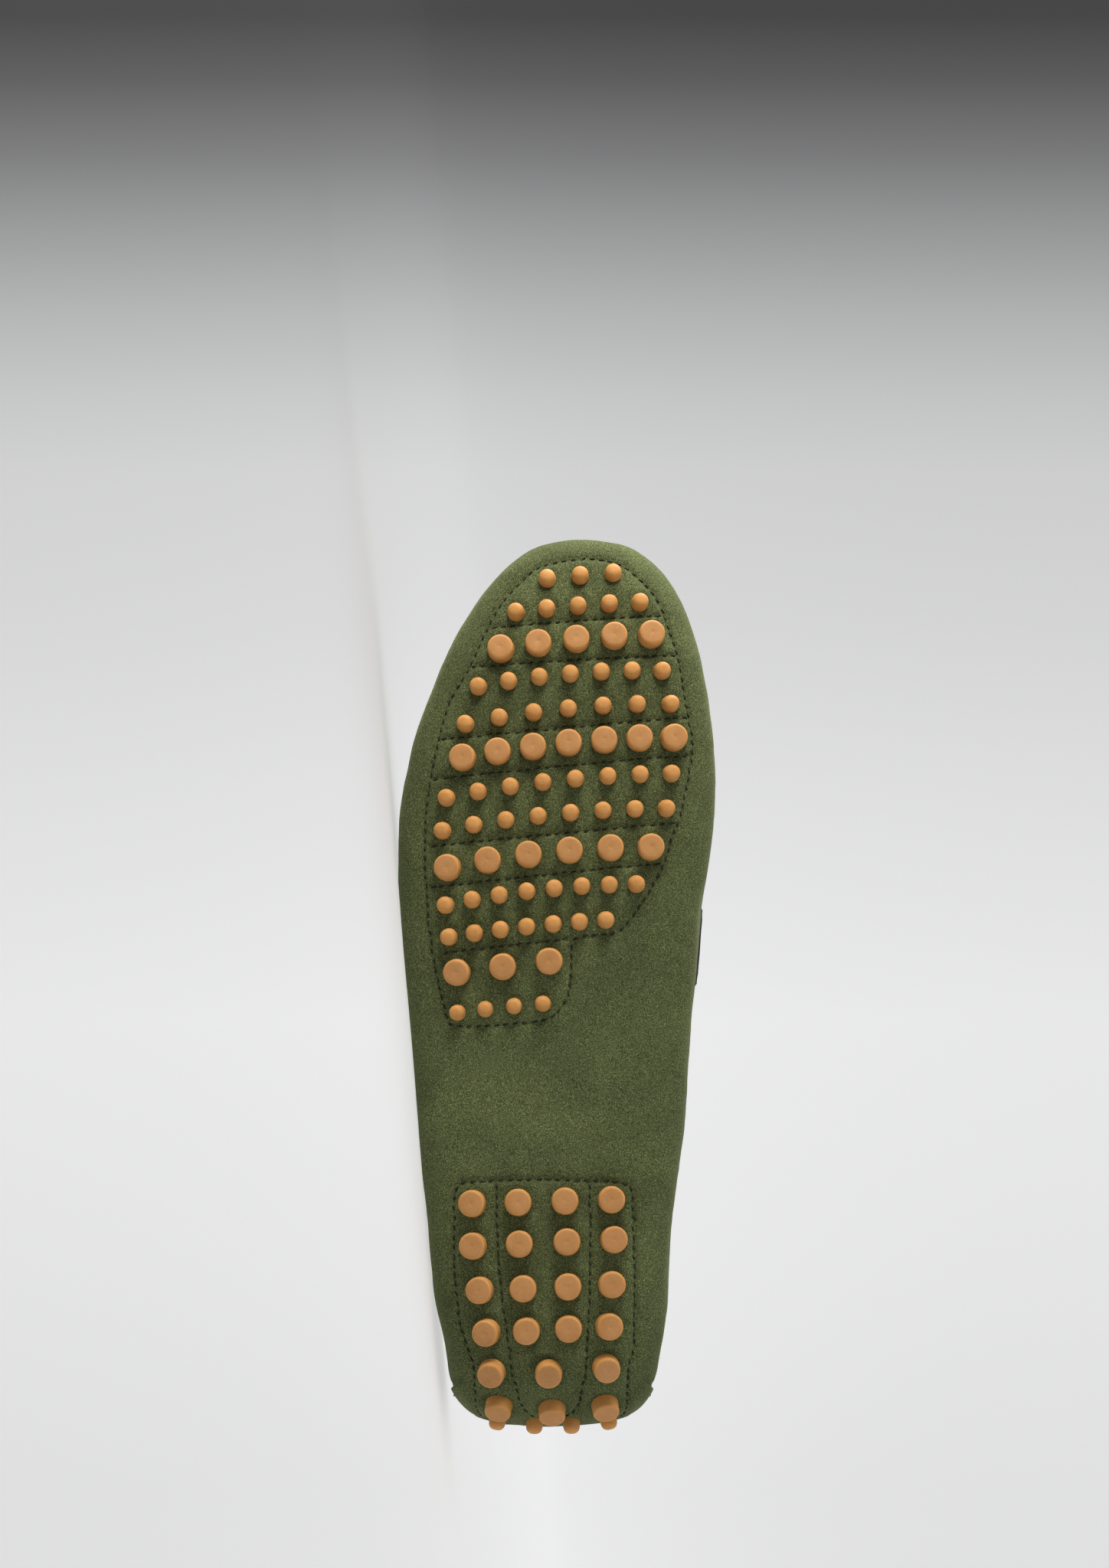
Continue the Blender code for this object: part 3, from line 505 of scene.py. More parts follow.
# Lines under the sole end where the heel turns up, and go on from there up its back
LINE_END_Y, HEEL_TURN_Z = 5.0, 8.6
# Small shift of both pads toward the toe, by place along the shoe
PAD_AT, PAD_SHIFT = (10.0, 30.0, 60.0, 120.0, 180.0), (-1.7, -0.6, 0.0, 0.6, 1.1)
LINE_STEP = 0.3


def evened(line, step):
    """A line with points at about that step."""
    run = run_along(line)
    even = np.linspace(0.0, run[-1], max(2, int(run[-1] / step) + 1))
    return np.column_stack([np.interp(even, run, column) for column in line.T])


def through(corners, step):
    """A smooth line through the corners, with points at about that step."""
    corners = np.asarray(corners, float)
    closed = np.allclose(corners[0], corners[-1])
    before, after = (corners[-2], corners[1]) if closed else (2 * corners[0] - corners[1],
                                                              2 * corners[-1] - corners[-2])
    padded = np.vstack([before, corners, after])
    line = []
    for a, b, c, d in zip(padded[:-3], padded[1:-2], padded[2:-1], padded[3:]):
        share = np.linspace(0, 1, 24, endpoint=False)[:, None]
        line.append(0.5 * (2 * b + (c - a) * share + (2 * a - 5 * b + 4 * c - d) * share ** 2
                           + (3 * b - a - 3 * c + d) * share ** 3))
    return evened(np.vstack([*line, corners[-1:]]), step)


def sole_run(corners):
    """A stitch line under the foot, through the corners on the plan."""
    line = through(corners, LINE_STEP)
    line[:, 1] += np.interp(line[:, 1], PAD_AT, PAD_SHIFT)
    return from_below(line[line[:, 1] > LINE_END_Y])[0]


fore_lines = [sole_run(FORE_OUTLINE)] + [sole_run(ends) for ends in FORE_CROSS]


def heel_run(corners):
    """A line under the heel, up to where the heel turns up."""
    hits = sole_run(corners)
    return hits[hits[:, 2] < HEEL_TURN_Z]


heel_outline = np.vstack([
    from_behind(through((BACK_TOP, *BACK_OUTER[::-1]), LINE_STEP))[0], heel_run(HEEL_OUTLINE),
    from_behind(through((*BACK_INNER, BACK_TOP), LINE_STEP))[0],
])
heel_u = np.vstack([
    heel_run(HEEL_U_OUTER), from_behind(through(BACK_U, LINE_STEP))[0], heel_run(HEEL_U_INNER[::-1]),
])
heel_lines = [evened(heel_outline, LINE_STEP), evened(heel_u, LINE_STEP)]

# Stud rows under the foot: kind, count, outer end, inner end and bow to the toe. Those up the back
# of the heel: kind, count, outer and inner x and height.
STUD_ROWS = (
    ("small", 3, (1.4, 270.2), (-20.3, 272.1), 0.0), ("small", 5, (11.6, 258.8), (-29.1, 262.1), 0.1),
    ("large", 5, (16.3, 246.5), (-32.7, 251.3), 0.3), ("small", 7, (23.6, 234.6), (-36.1, 239.7), 0.7),
    ("small", 7, (27.7, 222.4), (-38.9, 228.9), 0.8), ("large", 7, (28.4, 211.2), (-39.8, 217.7), 0.7),
    ("small", 8, (33.7, 198.4), (-39.0, 206.2), 0.8), ("small", 8, (35.0, 187.8), (-37.3, 194.9), 0.8),
    ("large", 6, (33.2, 175.9), (-32.1, 182.4), 0.8), ("small", 8, (33.9, 164.0), (-27.4, 170.7), 0.8),
    ("small", 7, (32.8, 153.3), (-17.5, 158.7), 0.3), ("large", 3, (30.1, 141.9), (0.5, 145.4), 0.0),
    ("little", 4, (30.0, 129.5), (2.5, 132.3), 0.1),
)
HEEL_STUD_ROWS = (
    ("large", 4, (25.1, 69.9), (-19.3, 71.1), 0.0), ("large", 4, (24.9, 56.8), (-20.1, 58.8), 0.0),
    ("large", 4, (22.8, 43.2), (-19.5, 45.0), 0.0), ("large", 4, (20.9, 30.0), (-18.8, 32.0), 0.0),
    ("large", 3, (19.2, 16.8), (-17.9, 18.4), -0.4),
)
BACK_STUD_ROWS = (("large", 3, 16.2, -17.0, 15.2), ("small", 4, 16.6, -18.0, 22.6))
STUD_RADIUS = {"large": 4.25, "small": 2.75, "little": 2.55}


def stud_places(rows):
    """Kind, base point and outward direction of each stud under the foot."""
    places = []
    for kind, count, outer, inner, bow in rows:
        share = np.linspace(0.0, 1.0, count)[:, None]
        tips = np.array(outer) + share * (np.array(inner) - np.array(outer))
        tips[:, 1] += bow * (1 - 2 * (2 * share[:, 0] - 1) ** 2) + np.interp(tips[:, 1], PAD_AT, PAD_SHIFT)
        tilts = from_below(tips)[1]
        bases, outward = from_below(tips - STUD_HEIGHT * tilts[:, :2])
        places += [(kind, b, n) for b, n in zip(bases, outward)]
    return places


fore_studs = stud_places(STUD_ROWS)
heel_studs = stud_places(HEEL_STUD_ROWS)
for kind, count, outer_x, inner_x, height in BACK_STUD_ROWS:
    bases, outward = from_behind([(x, height) for x in np.linspace(outer_x, inner_x, count)])
    heel_studs += [(kind, b, n) for b, n in zip(bases, outward)]


def distance_to(lines, points):
    """Distance of each point to the nearest of the lines."""
    line = np.vstack(lines)
    tree = KDTree(len(line))
    for i, point in enumerate(line):
        tree.insert(point, i)
    tree.balance()
    return np.array([tree.find(point)[2] for point in points.tolist()])


def inside(corners, points):
    """Whether points of the plan lie inside a closed line."""
    corners = np.asarray(corners, float)
    result = np.zeros(len(points), bool)
    for (x0, y0), (x1, y1) in zip(corners, np.roll(corners, -1, axis=0)):
        if y0 != y1:
            crosses = (y0 > points[:, 1]) != (y1 > points[:, 1])
            result ^= crosses & (points[:, 0] < (x1 - x0) * (points[:, 1] - y0) / (y1 - y0) + x0)
    return result


def step_up(values, low, high):
    """A smooth rise from 0 to 1 between two values."""
    share = np.clip((values - low) / (high - low), 0, 1)
    return share * share * (3 - 2 * share)


# Depth and half width of a stitched groove, and how far the pad swells between the lines and the
# suede beyond them. The suede dips round each stud and swells a little further out.
GROOVE_DEPTH, GROOVE_HALF = 0.65, 0.75
PAD_SWELL, PAD_RUN = 0.42, 3.2
BEYOND_SWELL, BEYOND_RUN, BEYOND_END = 0.22, 2.0, 7.0
STUD_DIP, DIP_HALF = 0.34, 1.1
STUD_COLLAR, COLLAR_AT, COLLAR_HALF = 0.12, 2.4, 1.2
HEEL_PLAN = [(24.2, -3.0), *HEEL_OUTLINE, (-24.8, -3.0)]
under = np.flatnonzero((skin_level <= 1.35) & (skin[:, 2] < 50))
low_points = skin[under]
swell = np.zeros(len(under))
for lines, plan, top_z in ((fore_lines, FORE_OUTLINE[:-1], 20), (heel_lines, HEEL_PLAN, 40)):
    distance = distance_to(lines, low_points)
    within = inside(plan, low_points[:, :2]) & (low_points[:, 2] < top_z)
    beyond = BEYOND_SWELL * (1 - np.exp(-(distance / BEYOND_RUN) ** 2)) * np.exp(-distance / BEYOND_END)
    swell += np.where(within, PAD_SWELL * (1 - np.exp(-(distance / PAD_RUN) ** 2)), beyond)
    swell -= GROOVE_DEPTH * np.exp(-(distance / GROOVE_HALF) ** 2)
for kind, base, outward in fore_studs + heel_studs:
    offset = low_points - base
    up = offset @ outward
    edge = np.linalg.norm(offset - up[:, None] * outward, axis=1) - STUD_RADIUS[kind]
    near = np.abs(up) < 6
    swell -= np.where(near, STUD_DIP * np.exp(-(edge / DIP_HALF) ** 2), 0.0)
    swell += np.where(near & (edge > 0), STUD_COLLAR * np.exp(-((edge - COLLAR_AT) / COLLAR_HALF) ** 2), 0.0)
raised = np.zeros(len(skin))
raised[under] = swell

# Wrinkles of the drawn suede by size and height, gathers below the apron seam, dents in the sides
# by centre, reach and depth, fullness of the inner side, and the fold across the heel
WRINKLES = ((24.0, 0.34), (9.0, 0.15), (3.2, 0.05))
GATHER_PITCH, GATHER_HEIGHT = 5.5, 0.30
DENTS = (((-47, 168, 16), (7, 13, 9), -1.3), ((47, 176, 25), (7, 16, 9), -0.5),
         ((-40, 112, 26), (8, 22, 12), -0.3), ((38, 60, 34), (8, 16, 9), -0.2))
INNER_FULLNESS = 0.7
FOLD_Y, FOLD_HALF, FOLD_HEIGHT, FOLD_REACH = 23.6, 1.1, 0.6, 12
for seed, (size, height) in enumerate(WRINKLES, 1):
    raised += height * rolling(skin, size, seed)
pull = step_up(skin_level, 1.0, 1.9) * step_up(skin[:, 1], 150, 200)
gathers = np.cos(2 * pi * skin_way / GATHER_PITCH + 0.8 * np.sin(skin_way / 21.0))
raised += np.where(skin_level <= 2.0, pull * GATHER_HEIGHT * gathers, 0.0)
for centre, sizes, depth in DENTS:
    raised += depth * np.exp(-np.sum(((skin - np.array(centre)) / np.array(sizes)) ** 2, axis=1))
fuller = step_up(skin[:, 1], 60, 95) * (1 - step_up(skin[:, 1], 160, 185)) * (skin[:, 0] < 0)
raised += INNER_FULLNESS * fuller * step_up(skin_level, 0.8, 1.0) * (1 - step_up(skin_level, 1.5, 1.9))
fold = np.exp(-((skin[:, 1] - FOLD_Y + 0.01 * (skin[:, 0] - 1) ** 2) / FOLD_HALF) ** 2)
raised += FOLD_HEIGHT * fold * (np.abs(skin[:, 0] - 0.8) < FOLD_REACH) * (skin[:, 2] < FOLD_REACH)

# The heel piece laps over the side walls with a raw edge that stands proud of a shallow groove
LAP_GROOVE, LAP_GROOVE_HALF = 0.35, 0.7
folded_way = folded(skin_way)
on_side = step_up(skin_level, 0.86, 0.93)
lap = on_side * step_up(folded_way, LAP_WAY - 0.3, LAP_WAY + 0.3)
lap *= 1 - 0.35 * step_up(folded_way, LAP_WAY + 6, LAP_WAY + 26)
raised += LAP_HEIGHT * lap * (skin_level <= 2.0)
raised -= LAP_GROOVE * np.exp(-((folded_way - LAP_WAY + 0.9) / LAP_GROOVE_HALF) ** 2) * on_side

dressed = above_floor(skin + raised[:, None] * skin_out)
dressed_tree = BVHTree.FromPolygons(dressed.tolist(), skin_faces)
# Split calf with a brushed nap: fibres 0.1 mm thick lie in tufts of about 0.4 mm, lighter at their
# tips, and stroked areas a few centimetres across look lighter or darker. The colour is also darker
# where the nap's relief is low, which is painted shade between the tufts. It has no gloss, only
# the soft sheen of the fibres at grazing angles. The fibres are drawn coarser, so that they show.
SUEDE_MID, SUEDE_DARK_AND_SHADED, SUEDE_LIGHT = "#444b2e", "#262b19", "#727a51"
TUFT, FIBRE, STROKE = 0.36 * MM, 0.22 * MM, 26 * MM
TUFT_SHARE, NAP_DEPTH = 0.72, 0.30 * MM


def suede(name, dark, mid, light):
    """Brushed suede in three tones, its darkest tone painted shade in the low places of the nap."""
    made, tree, shader = start_material(name)
    place = node(tree, "ShaderNodeTexCoord").outputs["Object"]
    tufts = node(tree, "ShaderNodeTexNoise", {"Vector": place, "Scale": 1 / TUFT, "Detail": 3.0,
                                              "Roughness": 0.62, "Distortion": 0.4})
    fibres = node(tree, "ShaderNodeTexNoise", {"Vector": place, "Scale": 1 / FIBRE, "Detail": 1.0})
    strokes = node(tree, "ShaderNodeTexNoise", {"Vector": place, "Scale": 1 / STROKE, "Detail": 3.0,
                                                "Roughness": 0.55, "Distortion": 0.8})
    finer = node(tree, "ShaderNodeMath", {0: fibres.outputs["Fac"], 1: 1 - TUFT_SHARE}, operation="MULTIPLY")
    mixed = node(tree, "ShaderNodeMath", {0: tufts.outputs["Fac"], 1: TUFT_SHARE, 2: finer.outputs["Value"]},
                 operation="MULTIPLY_ADD").outputs["Value"]
    # The tone follows the nap's relief: the low places take the dark tone, which is painted shade between the
    # tufts.
    nap = ramp(tree, mixed, (0.36, linear(dark)), (0.5, linear(mid)), (0.64, linear(light)))
    shade = node(tree, "ShaderNodeMapRange", {"Value": strokes.outputs["Fac"], "From Min": 0.35,
                                              "From Max": 0.65, "To Min": 0.87, "To Max": 1.14})
    toned = node(tree, "ShaderNodeVectorMath", {0: nap, "Scale": shade.outputs["Result"]}, operation="SCALE")
    relief = node(tree, "ShaderNodeBump", {"Height": mixed, "Strength": 1.0, "Distance": NAP_DEPTH})
    feed(shader, {"Base Color": toned.outputs["Vector"], "Normal": relief.outputs["Normal"],
                  "Roughness": 0.95, "Specular IOR Level": 0.1, "Sheen Weight": 0.36, "Sheen Roughness": 0.32,
                  "Sheen Tint": linear("#b0b689")})
    return made


green_suede = suede("brushed_green_suede", SUEDE_DARK_AND_SHADED, SUEDE_MID, SUEDE_LIGHT)
upper = piece("suede_upper", dressed, skin_faces, green_suede)
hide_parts("upper")


# RUBBER STUDS
# Moulded gum rubber, a plate with round pegs that lies under the suede and pushes its pegs out
# through punched holes: flat-ended large ones with a gate mark in the middle, domed small ones.
PLATE_THICK, PLATE_GAP = 1.5, 0.55
STUD_SIDES = 36
# Radius share and height of the pegs' turned profiles, from under the suede to the middle
LARGE_PROFILE = ((1.0, -2.6), (1.0, -0.4), (1.02, 0.3), (0.985, 1.6), (0.985, 3.1), (0.965, 3.65),
                 (0.915, 4.02), (0.84, 4.2), (0.72, 4.27), (0.4, 4.3), (0.14, 4.29), (0.1, 4.25),
                 (0.05, 4.21), (0.0, 4.2))
SMALL_PROFILE = ((1.0, -2.6), (1.0, -0.4), (1.03, 0.3), (0.985, 1.2), (0.965, 2.2), (0.91, 2.95),
                 (0.82, 3.5), (0.69, 3.9), (0.53, 4.14), (0.35, 4.26), (0.16, 4.3), (0.0, 4.31))
# Rings of a large peg's profile that belong to its flat end
FLAT_END_RINGS = 5


def gather(parts):
    """Several sets of points and faces as one."""
    points, faces = [], []
    for more_points, more_faces in parts:
        faces += [tuple(corner + len(points) for corner in face) for face in more_faces]
        points.extend(more_points)
    return points, faces


def tube_faces(rows, sides):
    """Faces between rings of corners, with both ends capped."""
    ids = np.arange(rows * sides).reshape(rows, sides)
    return [*quads(np.column_stack([ids, ids[:, 0]])), tuple(ids[0, ::-1].tolist()), tuple(ids[-1].tolist())]


def tube(middles, across, aside, sides):
    """Points and faces of a closed tube round its middles, from its half widths both ways."""
    turns = np.linspace(0, 2 * pi, sides, endpoint=False)[:, None]
    rings = middles[:, None] + np.cos(turns) * across[:, None] + np.sin(turns) * aside[:, None]
    return rings.reshape(-1, 3), tube_faces(len(middles), sides)


def turned_pegs(places):
    """Pegs turned round their own directions, and whether each of their faces is on a flat end."""
    pegs, on_end = [], []
    for kind, base, outward in places:
        profile = np.array(LARGE_PROFILE if kind == "large" else SMALL_PROFILE)
        across = unit(np.cross(outward, (0.0, 1.0, 0.0) if abs(outward[1]) < 0.7 else (1.0, 0.0, 0.0)))
        middles = base + profile[:, 1:] * outward
        widths = STUD_RADIUS[kind] * profile[:-1, :1]
        points, faces = tube(middles[:-1], widths * across, widths * np.cross(outward, across), STUD_SIDES)
        tip, last = len(points), len(points) - STUD_SIDES
        faces[-1:] = [(last + k, last + (k + 1) % STUD_SIDES, tip) for k in range(STUD_SIDES)]
        pegs.append(([*points, middles[-1]], faces))
        bands, flat = len(profile) - 2, kind == "large"
        for band in range(bands):
            on_end += [flat and band >= bands - FLAT_END_RINGS] * STUD_SIDES
        on_end += [False] + [flat] * STUD_SIDES
    return pegs, on_end


def slab(outer, normals, columns, thickness):
    """A closed slab from a sheet of points stored row by row: outer face, inner face and rim."""
    count = len(outer)
    ids = np.arange(count).reshape(-1, columns)
    faces = quads(ids)
    faces += [(a + count, d + count, c + count, b + count) for a, b, c, d in faces]
    rim = np.concatenate([ids[0], ids[1:, -1], ids[-1, -2::-1], ids[-2:0:-1, 0]]).tolist()
    faces += [(b, a, count + a, count + b) for a, b in zip(rim, rim[1:] + rim[:1])]
    return np.vstack([outer, outer - thickness * normals]), faces


def plate_sheet(lines_under, lines_back=(), columns=22):
    """The outer face of a plate below the suede, from lines across the sole and up the heel."""
    rows = [from_below(np.linspace((inner_x, inner_y), (outer_x, outer_y), columns))
            for (outer_y, outer_x), (inner_y, inner_x) in lines_under]
    rows += [from_behind(np.linspace((inner_x, height), (outer_x, height), columns))
             for height, outer_x, inner_x in lines_back]
    normals = unit(np.vstack([out for _, out in rows]))
    return np.vstack([at for at, _ in rows]) - (SUEDE_THICK + PLATE_GAP) * normals, normals, columns


# Plates, as lines across: y and x of the outer end, y and x of the inner end. Up the back of the
# heel a line is its height and the x of both ends.
FORE_PLATE = (
    ((275.4, -5.0), (275.4, -17.0)), ((271.0, 6.0), (271.5, -25.5)), ((264.5, 13.0), (266.5, -31.0)),
    ((251.6, 20.4), (257.0, -36.6)), ((240.0, 26.0), (246.0, -40.4)), ((228.0, 31.2), (234.8, -42.6)),
    ((216.4, 34.8), (223.8, -44.0)), ((204.2, 37.2), (212.4, -44.0)), ((192.6, 38.8), (201.2, -42.4)),
    ((181.4, 39.2), (189.8, -39.0)), ((169.4, 38.8), (177.2, -33.4)), ((158.0, 37.8), (164.6, -26.0)),
    ((147.0, 36.2), (153.8, -17.0)), ((146.0, 36.0), (151.6, -5.4)), ((134.0, 33.8), (137.6, -4.8)),
    ((125.4, 31.5), (127.6, -1.4)),
)
HEEL_PLATE = (
    ((76.0, 29.4), (76.0, -23.6)), ((63.4, 29.8), (64.8, -25.2)), ((50.0, 29.0), (51.8, -25.2)),
    ((36.6, 28.0), (38.4, -25.2)), ((28.0, 27.2), (29.0, -25.1)), ((21.5, 26.6), (22.0, -25.0)),
    ((16.0, 25.8), (16.4, -24.8)),
)
HEEL_PLATE_BACK = ((13.0, 24.8, -24.6), (17.5, 24.2, -24.4), (22.5, 22.8, -23.2), (29.0, 20.4, -21.0))

# Gum rubber is a soft matt rubber of a honey colour that lets a little light through, so its
# shaded sides glow orange. Dust and scuffs dull the flat ends.
RUBBER, RUBBER_DEEP, RUBBER_DUST = "#b58248", "#a67439", "#bb9060"
END_RUBBER, END_DEEP, END_DUST = "#a97a4a", "#9f7040", "#b78c60"
CLOUD, GRIT, DUST_DEPTH = 5 * MM, 0.8 * MM, 0.05 * MM


def gum_rubber(name, rubber, deep, dusty):
    """Honey gum rubber with a cloudy tone, a little light inside it and dusty high places."""
    made, tree, shader = start_material(name)
    place = node(tree, "ShaderNodeTexCoord").outputs["Object"]
    clouds = node(tree, "ShaderNodeTexNoise", {"Vector": place, "Scale": 1 / CLOUD, "Detail": 3.0})
    body = ramp(tree, clouds.outputs["Fac"], (0.3, linear(deep)), (0.7, linear(rubber)))
    dust = node(tree, "ShaderNodeTexNoise", {"Vector": place, "Scale": 1 / GRIT, "Detail": 4.0,
                                             "Roughness": 0.7}).outputs["Fac"]
    worn = node(tree, "ShaderNodeMapRange", {"Value": dust, "From Min": 0.45, "From Max": 0.75,
                                             "To Max": 0.35})
    both = node(tree, "ShaderNodeMix", {"Factor": worn.outputs["Result"], "A": body, "B": linear(dusty)},
                data_type="RGBA")
    dulled = node(tree, "ShaderNodeMapRange", {"Value": dust, "To Min": 0.42, "To Max": 0.7})
    grain = node(tree, "ShaderNodeBump", {"Height": dust, "Strength": 0.5, "Distance": DUST_DEPTH})
    feed(shader, {"Base Color": both.outputs["Result"], "Roughness": dulled.outputs["Result"],
                  "Normal": grain.outputs["Normal"], "IOR": 1.52, "Specular IOR Level": 0.2,
                  "Subsurface Weight": 0.2, "Subsurface Radius": (1.0, 0.55, 0.25),
                  "Subsurface Scale": 1.6 * MM})
    return made


rubber = gum_rubber("moulded_gum_rubber", RUBBER, RUBBER_DEEP, RUBBER_DUST)
worn_rubber = gum_rubber("scuffed_gum_rubber", END_RUBBER, END_DEEP, END_DUST)
for name, node_name, places, sheet in (
        ("forefoot_studs", "forefoot_plate", fore_studs, plate_sheet(FORE_PLATE)),
        ("heel_studs", "heel_plate", heel_studs, plate_sheet(HEEL_PLATE, HEEL_PLATE_BACK))):
    pegs, on_end = turned_pegs(places)
    plate = slab(*sheet, PLATE_THICK)
    studs = piece(name, *gather([*pegs, plate]), rubber)
    studs.data.materials.append(worn_rubber)
    studs.data.polygons.foreach_set("material_index", [int(end) for end in on_end] + [0] * len(plate[1]))
    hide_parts(node_name)


# SOLE STITCHING
# Lockstitch in waxed polyester thread of 0.5 mm, eight to the inch, that quilts the suede to the
# plates. Each stitch dips into its hole at both ends, so it shows as a short dark dash.
THREAD_SIDES, STITCH_RINGS, LAY_STEP = 7, 7, 0.25
STITCH_RISE, STITCH_DIP, STITCH_WANDER = 0.24, 0.42, 0.05
# Pitch, length and thread radius
SOLE_STITCH, SOLE_SLANT = (3.0, 2.2, 0.27), 0.35
LAP_STITCH = (3.0, 2.3, 0.32)


def stitches(line, gauge, tree, slant, seed):
    """Points and faces of stitches along a line in space, laid on the surface of a tree."""
    pitch, length, radius = gauge
    line = evened(line, LAY_STEP)
    run = LAY_STEP * (len(line) - 1)
    steps = max(1, int(round(run / pitch)))
    shares = np.linspace(-0.5, 0.5, STITCH_RINGS)
    rise = STITCH_RISE * np.cos(pi * shares) - STITCH_DIP * np.abs(2 * shares) ** 3
    width = radius * (1 - 0.55 * np.abs(2 * shares) ** 4)[:, None]
    wander = np.random.default_rng(seed)
    sewn = []
    for i in range(steps):
        middle = (i + 0.5) * run / steps + wander.normal(0, STITCH_WANDER) * pitch
        places = np.clip((middle + shares * length) / LAY_STEP, 0, len(line) - 1)
        spine, outward = nearest_on(tree, np.column_stack(
            [np.interp(places, np.arange(len(line)), column) for column in line.T]))
        ahead = unit(spine[-1] - spine[0])
        aside = unit(np.cross(unit(np.mean(outward, axis=0)), ahead))
        outward = np.cross(ahead, aside)
        spine = spine + (slant + wander.normal(0, STITCH_WANDER)) * shares[:, None] * aside
        sewn.append(tube(spine + rise[:, None] * outward, width * aside, width * outward, THREAD_SIDES))
    return gather(sewn)


def sew(name, lines, gauge, tree, thread, seed, slant=0.0):
    """A piece of stitches along these lines."""
    piece(name, *gather(stitches(line, gauge, tree, slant, seed + i) for i, line in enumerate(lines)), thread)


# Waxed thread: twisted plies 0.3 mm wide show as slanting lines. Its colour darkens to near black
# in the grooves between them, which is painted shade.
THREAD_DARK_AND_SHADED, THREAD_LIGHT = "#14160d", "#262a1a"
TWIST, PLY_DEPTH = 3.2 * MM, 0.08 * MM


def waxed_thread(name, dark, light):
    """Twisted thread with a dull wax gloss and painted shade in the grooves of its plies."""
    made, tree, shader = start_material(name)
    place = node(tree, "ShaderNodeTexCoord").outputs["Object"]
    twist = node(tree, "ShaderNodeTexWave", {"Vector": place, "Scale": 1 / TWIST, "Distortion": 2.0,
                                             "Detail": 1.0, "Detail Scale": 2.0},
                 bands_direction="DIAGONAL").outputs["Fac"]
    ply = node(tree, "ShaderNodeBump", {"Height": twist, "Strength": 0.6, "Distance": PLY_DEPTH})
    # The colour ramp follows the twist's relief, so the grooves between the plies take the dark tone as
    # painted shade.
    feed(shader, {"Base Color": ramp(tree, twist, (0.2, linear(dark)), (0.9, linear(light))),
                  "Normal": ply.outputs["Normal"], "Roughness": 0.7, "Specular IOR Level": 0.2})
    return made


green_thread = waxed_thread("waxed_green_thread", THREAD_DARK_AND_SHADED, THREAD_LIGHT)
sew("forefoot_stitching", fore_lines, SOLE_STITCH, dressed_tree, green_thread, 0, SOLE_SLANT)
sew("heel_stitching", heel_lines, SOLE_STITCH, dressed_tree, green_thread, 0, SOLE_SLANT)

# The heel piece is sewn down along its lap by one row of stitches up each side wall
lap_lines = [nearest_on(dressed_tree, level_points([way], np.linspace(1.0, 1.82, 80))[0])[0]
             for way in (LAP_WAY + 2.6, FULL_LOOP - LAP_WAY - 2.6)]
sew("heel_lap_stitching", lap_lines, LAP_STITCH, dressed_tree, green_thread, 30)


# LINING
# Tan glove leather, glued to the back of the suede all round: it covers the inside of the side
# walls, the apron and the sole, and is turned over at the topline.
LINING_TAN, LINING_DEEP, LINING_LIGHT = "#a98357", "#8c683f", "#bd9a6d"
LEATHER_CLOUD, CREASE_DEPTH = 14 * MM, 0.12 * MM


def smooth_leather(name, deep, mid, light, pore_mm, roughness):
    """Grain leather in three tones with pores and creases, its colour darkened in the creases as painted
    shade.
    """
    made, tree, shader = start_material(name)
    place = node(tree, "ShaderNodeTexCoord").outputs["Object"]
    clouds = node(tree, "ShaderNodeTexNoise", {"Vector": place, "Scale": 1 / LEATHER_CLOUD,
                                               "Detail": 4.0}).outputs["Fac"]
    pores = node(tree, "ShaderNodeTexVoronoi", {"Vector": place, "Scale": 1 / (pore_mm * MM)},
                 feature="DISTANCE_TO_EDGE")
    shallow = node(tree, "ShaderNodeMapRange", {"Value": pores.outputs["Distance"],
                                                "From Max": 0.22}).outputs["Result"]
    tones = ramp(tree, clouds, (0.3, linear(deep)), (0.5, linear(mid)), (0.7, linear(light)))
    # Painted shade: the colour is darkened along the creases between the grain's cells, where the relief is
    # low.
    painted_crease_shade = node(tree, "ShaderNodeMapRange", {"Value": shallow, "To Min": 0.78})
    toned = node(tree, "ShaderNodeVectorMath", {0: tones, "Scale": painted_crease_shade.outputs["Result"]},
                 operation="SCALE")
    grain = node(tree, "ShaderNodeBump", {"Height": shallow, "Strength": 0.7, "Distance": CREASE_DEPTH})
    handled = node(tree, "ShaderNodeMapRange", {"Value": clouds, "To Min": roughness - 0.1,
                                                "To Max": roughness + 0.12})
    feed(shader, {"Base Color": toned.outputs["Vector"], "Normal": grain.outputs["Normal"],
                  "Roughness": handled.outputs["Result"], "Specular IOR Level": 0.25})
    return made


lining_leather = smooth_leather("tan_glove_leather", LINING_DEEP, LINING_TAN, LINING_LIGHT, 0.9, 0.55)
lining_levels = np.concatenate([even_levels(0, 1, 30), even_levels(1, 2, 14)[1:]])
grid, used, faces = skin_grid(ways_round(2.2), lining_levels, even_levels(2, 3, 8)[1:])
points = grid.reshape(-1, 3)[used]
points = above_floor(points - (SUEDE_THICK + 0.05) * corner_normals(points, faces), SUEDE_THICK + 0.1)
lining = piece("lining", points, [face[::-1] for face in faces], lining_leather)
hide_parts("upper")


